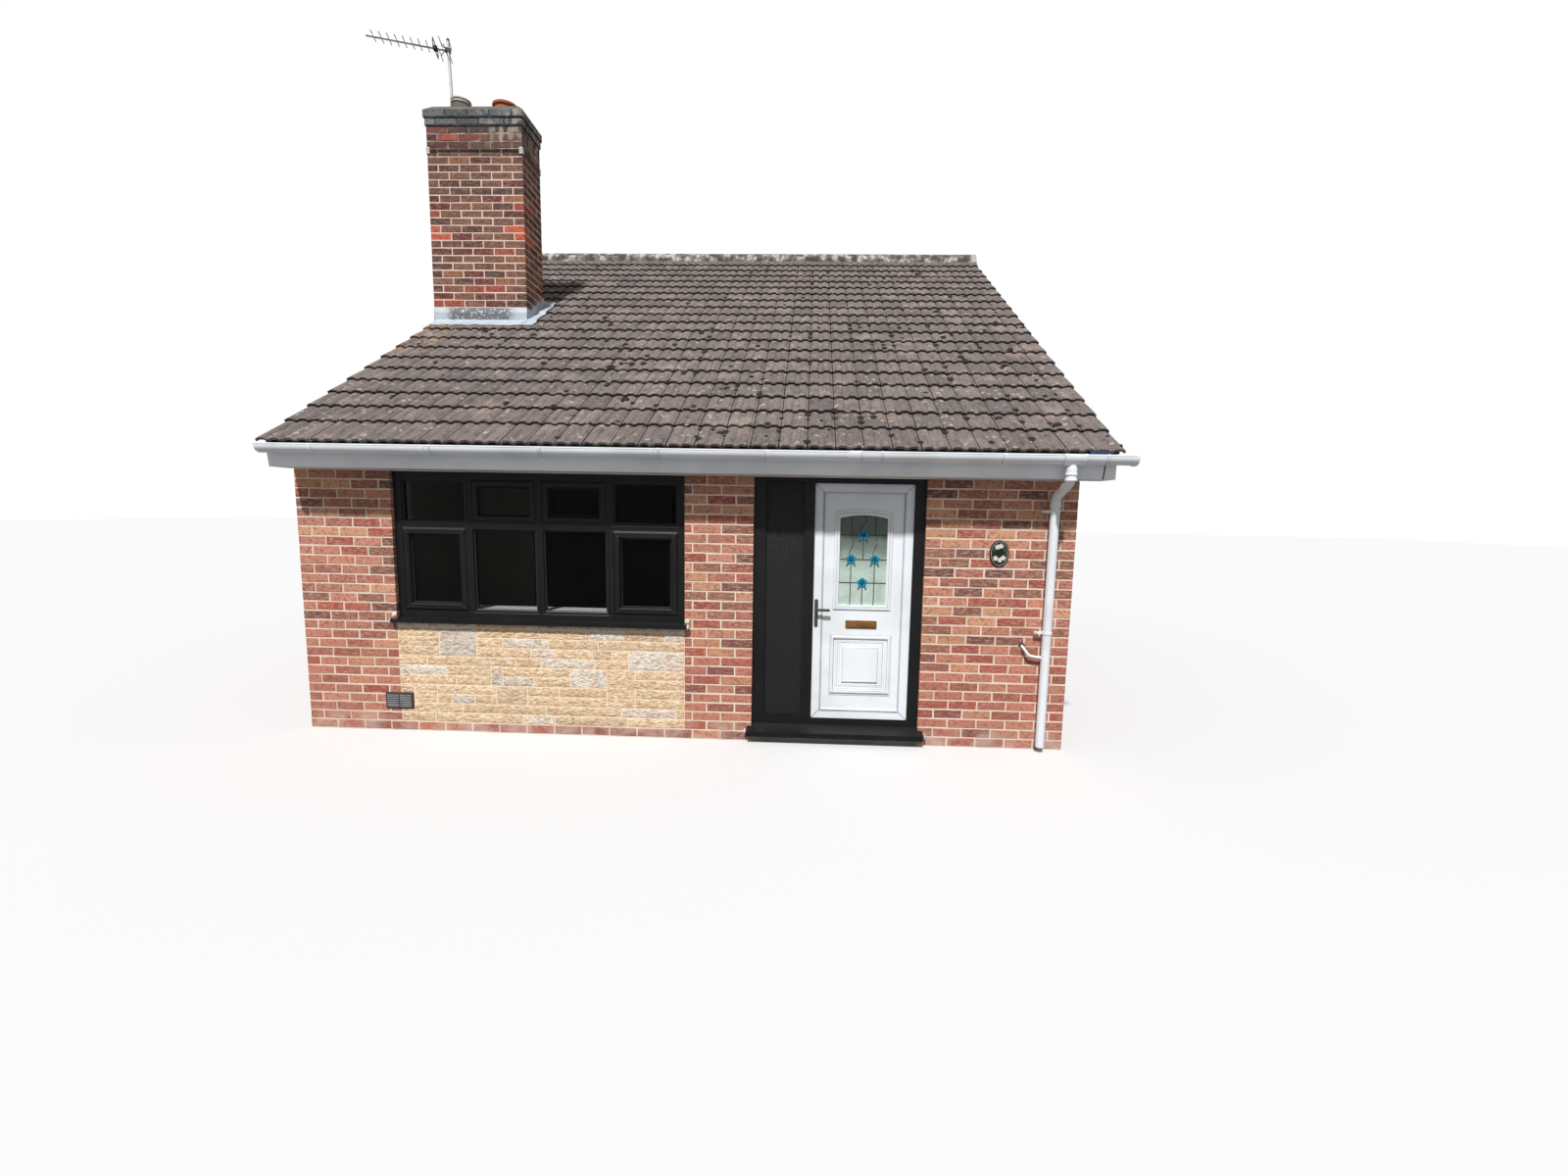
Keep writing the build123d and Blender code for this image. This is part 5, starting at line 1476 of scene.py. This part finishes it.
class DressDoor(bpy.types.Operator):
    """Add the beads, the painted shadow lines of the grooves, mitres, letter flap, lead strips and flowers
    of the street door
    """

    bl_idname = "bungalow.dress_door"
    bl_label = "Dress the door"

    def execute(self, context):
        self.low, self.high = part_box("door_glass")
        self.middle = (self.low.x + self.high.x) / 2
        self.glass = facade(self.low.y)
        self.mouldings()
        self.letter_flap()
        self.lead(context.scene.bungalow_joinery.lead_strip / 2)
        self.flowers()
        return {"FINISHED"}

    def arch(self, grow):
        """Outline of the light with its shallow arched head, moved outwards."""
        half, rise = (self.high.x - self.low.x) / 2 + grow, 0.025
        spring, foot = self.high.z - rise + grow, self.low.z - grow
        turns = [math.pi * step / 12 for step in range(13)]
        top = [(self.middle + half * math.cos(turn), spring + rise * math.sin(turn)) for turn in turns]
        return top + [(self.middle - half, foot), (self.middle + half, foot)]

    def panel(self, inset):
        """Outline of the raised panel below the light, moved inwards."""
        half = 0.2345 - inset
        return box_outline(self.middle - half, self.middle + half, 0.401 + inset, 0.868 - inset)

    def mouldings(self):
        """Beads round the light and the panel, painted shadow lines for the grooves there and round the
        border, and the mitre lines of the border.
        """
        low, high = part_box("door_leaf")
        leaf = facade(low.y)
        beads, grooves, mitres = Shape(), Shape(), Shape()
        for grow in (0.008, 0.030):
            beads.bead(leaf, self.arch(grow), -0.001, 0.0035)
        beads.bead(leaf, self.arch(0.0405), -0.008, 0.0025)
        for inset, depth in ((0.010, -0.001), (0.040, -0.009), (0.072, -0.009), (0.102, -0.001)):
            beads.bead(leaf, self.panel(inset), depth, 0.003)
        beads.build("door_beads", "white_plastic", body="door")
        # Thin grey tubes: painted shadow lines in the grooves round the light and the panel and along the
        # border
        for grow, depth in ((0.019, 0), (0.0415, -0.008)):
            grooves.bead(leaf, self.arch(grow), depth, 0.0018, 6)
        for inset, depth in ((-0.006, 0), (0.022, 0), (0.056, -0.009), (0.094, 0)):
            grooves.bead(leaf, self.panel(inset), depth, 0.0018, 6)
        for inset in (0.0705, 0.0785):
            border = box_outline(low.x + inset, high.x - inset, low.z + inset * 0.9, high.z - inset)
            grooves.bead(leaf, border, -0.0004, 0.0019, 6)
        grooves.build("door_grooves", "groove", "white_plastic", body="door")
        for u, v, du, dv in corners_of(low.x, high.x, low.z, high.z):
            start, end = [(u + du * at, v + dv * at) for at in (0.002, 0.070)]
            mitres.strip(leaf, start, end, 0.000707, -0.003, 0.0003)
        mitres.build("door_mitres", "mitre_line", "white_plastic", body="door")

    def letter_flap(self):
        """The flap of the letterplate and the gap round it, painted dark as shade."""
        low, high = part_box("letterplate")
        flap, gap = Shape(), Shape()
        outline = box_outline(low.x + 0.020, high.x - 0.020, low.z + 0.011, high.z - 0.011)
        flap.plate(facade(low.y), outline, -0.001, 0.0022, PLAIN, 0.0015)
        gap.bead(facade(low.y), outline, 0.0002, 0.0016, 6)
        flap.build("letter_flap", "aged_gold", "gold_metal", body="door")
        gap.build("letter_gap", "gold_shadow", "gold_metal", body="door")

    def point(self, across, down):
        """A point of the glass by shares of its width and of its height from the top."""
        low, high = self.low, self.high
        return self.middle + (across - 0.5) * (high.x - low.x), high.z - down * (high.z - low.z)

    def lead(self, half):
        """Lead strips on the glass, straight and wavy."""
        strips = Shape()

        def lay(half, line):
            points = [self.point(across, down) for across, down in line]
            for start, end in zip(points, points[1:]):
                strips.strip(self.glass, start, end, half, 0.0005, 0.0032, 0.0012)

        def wavy(across, swing, top, fall, steps):
            shares = [step / steps for step in range(steps + 1)]
            return [(across + swing * math.sin(2 * math.pi * share), top + fall * share) for share in shares]

        for down in (0.22, 0.49, 0.75):
            lay(half, [(0, down), (1, down)])
        outer, inner = ((0.015, 0.22), (0.49, 1)), ((0.22, 0.49), (0.75, 1))
        for across, runs in ((0.25, outer), (0.75, outer), (0.5, inner)):
            for top, foot in runs:
                lay(half, [(across, top), (across, foot)])
        lay(half, wavy(0.5, 0.06, 0, 0.22, 14))
        for across in (0.25, 0.75):
            lay(half * 0.7, wavy(across, 0.04, 0.24, 0.25, 10))
        strips.build("lead_strips", "lead_strip", "leaded_glass", body="door")

    def flowers(self):
        """A flower with two leaves wherever the strips cross."""
        petals, eyes, stems = Shape(), Shape(), Shape()
        for across, down in ((0.5, 0.22), (0.25, 0.49), (0.75, 0.49), (0.5, 0.75)):
            u, v = self.point(across, down)
            for petal in range(5):
                outline = petal_outline(u, v, 0.021, 0.0205, 0.0185, math.radians(90 + 72 * petal))
                petals.plate(self.glass, outline, 0.0005, 0.0042, PLAIN, 0.0012)
            eye = ((0, 0.0045), (0.002, 0.0045), (0.003, 0.002))
            eyes.disc(self.glass(u, v, 0.003), (0, -1, 0), eye, 10)
            for lean in (-32, 32):
                outline = petal_outline(u, v, 0.046, 0.021, 0.0055, math.radians(lean - 90), 8)
                stems.plate(self.glass, outline, 0.0005, 0.0036, PLAIN, 0.001)
        petals.build("door_petals", "petal", "leaded_glass", body="door")
        eyes.build("door_flower_eyes", "flower_eye", "leaded_glass", body="door")
        stems.build("door_leaves", "stem", "leaded_glass", body="door")


# Flowers and leaves of the plaque from its middle, the leaves with the angle they lie at
BLOOMS = ((-0.018, 0.050), (0.008, 0.058), (-0.030, -0.036), (0.004, -0.048), (0.030, -0.032))
SPRIGS = ((0.030, 0.044, 2.4), (0.040, 0.026, 1.9), (0.048, 0.006, 1.7))
SPRIGS += ((-0.036, 0.030, 1.0), (0.022, 0.062, 2.8))


class PaintPlaque(bpy.types.Operator):
    """Add the pale line and the simple flowers of the oval plaque"""

    bl_idname = "bungalow.paint_plaque"
    bl_label = "Finish the plaque"

    def execute(self, context):
        low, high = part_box("wall_plaque")
        u, v = (low.x + high.x) / 2, (low.z + high.z) / 2
        wide, tall = (high.x - low.x) / 2 - 0.012, (high.z - low.z) / 2 - 0.012
        face = facade(low.y)
        line, flowers, leaves = Shape(), Shape(), Shape()
        line.bead(face, [(u + wide * c, v + tall * s) for c, s in circle(64)], 0.0004, 0.0012, 6)
        dice = random.Random("plaque")
        for across, up in BLOOMS:
            for petal in range(5):
                spin = dice.uniform(0, 0.5) + 2 * math.pi * petal / 5
                outline = petal_outline(u + across, v + up, 0.0105, 0.0092, 0.0085, spin)
                flowers.plate(face, outline, -0.0005, 0.001 + 0.0002 * petal)
        for across, up, spin in SPRIGS:
            leaves.plate(face, petal_outline(u + across, v + up, 0, 0.014, 0.006, spin), -0.0005, 0.0007)
        line.build("plaque_line", "plaque_white", "enamel")
        flowers.build("plaque_flowers", "plaque_white", "enamel")
        leaves.build("plaque_leaves", "plaque_leaf", "enamel")
        return {"FINISHED"}


class SetStage(bpy.types.Operator):
    """Lay the floor and set the lamps and the camera"""

    bl_idname = "bungalow.set_stage"
    bl_label = "Set the stage"

    def execute(self, context):
        scene = context.scene
        settings = scene.bungalow_stage
        scene.view_settings.view_transform = "Standard"
        mesh = bpy.data.meshes.new("floor")
        corners = [(x, y, 0) for x, y in box_outline(-60, 60, -60, 60)]
        mesh.from_pydata(corners, [], [(0, 1, 2, 3)])
        floor = self.placed(scene, mesh)
        skin = Skin("floor", (120, 120, 121), 0.9, specular_ior_level=0.1)
        seen_directly = skin.node("ShaderNodeLightPath", output="Is Camera Ray")
        skin.stain(seen_directly, settings.floor)
        skin.coat()
        mesh.materials.append(skin.material)
        lamp = bpy.data.lights.new("sun", "SUN")
        lamp.energy, lamp.angle = settings.sun, math.radians(3)
        sunward = Vector((-0.18, -1, 1.36))
        self.placed(scene, lamp).rotation_euler = sunward.to_track_quat("Z", "Y").to_euler()
        self.sky(scene, settings.sky)
        self.camera(scene, settings.focal)
        return {"FINISHED"}

    def placed(self, scene, data):
        """Puts a mesh, lamp or camera into the scene."""
        thing = bpy.data.objects.new(data.name, data)
        scene.collection.objects.link(thing)
        return thing

    def sky(self, scene, strength):
        """An even white light, which shows as plain white behind the house and through its panes."""
        world = scene.world = bpy.data.worlds.new("studio")
        world.use_nodes = True
        nodes = world.node_tree.nodes
        fill, seen_sky = nodes["Background"], nodes.new("ShaderNodeBackground")
        for background in (fill, seen_sky):
            background.inputs["Color"].default_value = (1, 1, 1, 1)
        fill.inputs["Strength"].default_value = strength
        rays = nodes.new("ShaderNodeLightPath")
        either, blend = nodes.new("ShaderNodeMath"), nodes.new("ShaderNodeMixShader")
        either.operation = "MAXIMUM"
        for source, socket in (
            (rays.outputs["Is Camera Ray"], either.inputs[0]),
            (rays.outputs["Is Transmission Ray"], either.inputs[1]),
            (either.outputs[0], blend.inputs["Fac"]),
            (fill.outputs[0], blend.inputs[1]),
            (seen_sky.outputs[0], blend.inputs[2]),
            (blend.outputs[0], nodes["World Output"].inputs["Surface"]),
        ):
            world.node_tree.links.new(source, socket)

    def camera(self, scene, focal):
        """The camera of the photo; its focal length counts pixels of a picture 1600 wide."""
        pitch, yaw, roll = -0.1204, -0.0369, -0.0179
        forward = Vector((math.sin(yaw) * math.cos(pitch), math.cos(yaw) * math.cos(pitch), math.sin(pitch)))
        level = Vector((math.cos(yaw), -math.sin(yaw), 0))
        down = forward.cross(level)
        right = level * math.cos(roll) + down * math.sin(roll)
        down = down * math.cos(roll) - level * math.sin(roll)
        lens = bpy.data.cameras.new("camera")
        lens.sensor_width = 36
        lens.lens = focal / 1600 * lens.sensor_width
        lens.clip_start, lens.clip_end = 0.1, 300
        camera = scene.camera = self.placed(scene, lens)
        turn = Matrix((right, -down, -forward)).transposed().to_4x4()
        camera.matrix_world = Matrix.Translation((1.0170, -9.4541, 1.8503)) @ turn


OPERATORS = (
    MixFinishes,
    LayBrickwork,
    BuildStack,
    SetStonePanel,
    LayRoof,
    DressFlashing,
    RaiseAerial,
    HangPipes,
    GlazeWindows,
    DressDoor,
    PaintPlaque,
    SetStage,
)


class BungalowPanel(bpy.types.Panel):
    """Sizes, colours and steps of the bungalow"""

    bl_idname = "VIEW3D_PT_bungalow"
    bl_label = "Bungalow"
    bl_space_type = "VIEW_3D"
    bl_region_type = "UI"
    bl_category = "Bungalow"

    def draw(self, context):
        for name, group in GROUPS.items():
            box = self.layout.box()
            box.label(text=name.split("_")[1].title())
            for field in group.__annotations__:
                box.prop(getattr(context.scene, name), field)
        for operator in OPERATORS:
            self.layout.operator(operator.bl_idname)


def register():
    for kind in (*GROUPS.values(), *OPERATORS, BungalowPanel):
        bpy.utils.register_class(kind)
    for name, group in GROUPS.items():
        setattr(bpy.types.Scene, name, PointerProperty(type=group))


def unregister():
    for name in GROUPS:
        delattr(bpy.types.Scene, name)
    for kind in reversed((*GROUPS.values(), *OPERATORS, BungalowPanel)):
        bpy.utils.unregister_class(kind)


def main():
    register()
    for operator in OPERATORS:
        group, name = operator.bl_idname.split(".")
        getattr(getattr(bpy.ops, group), name)()


if __name__ == "__main__":
    main()
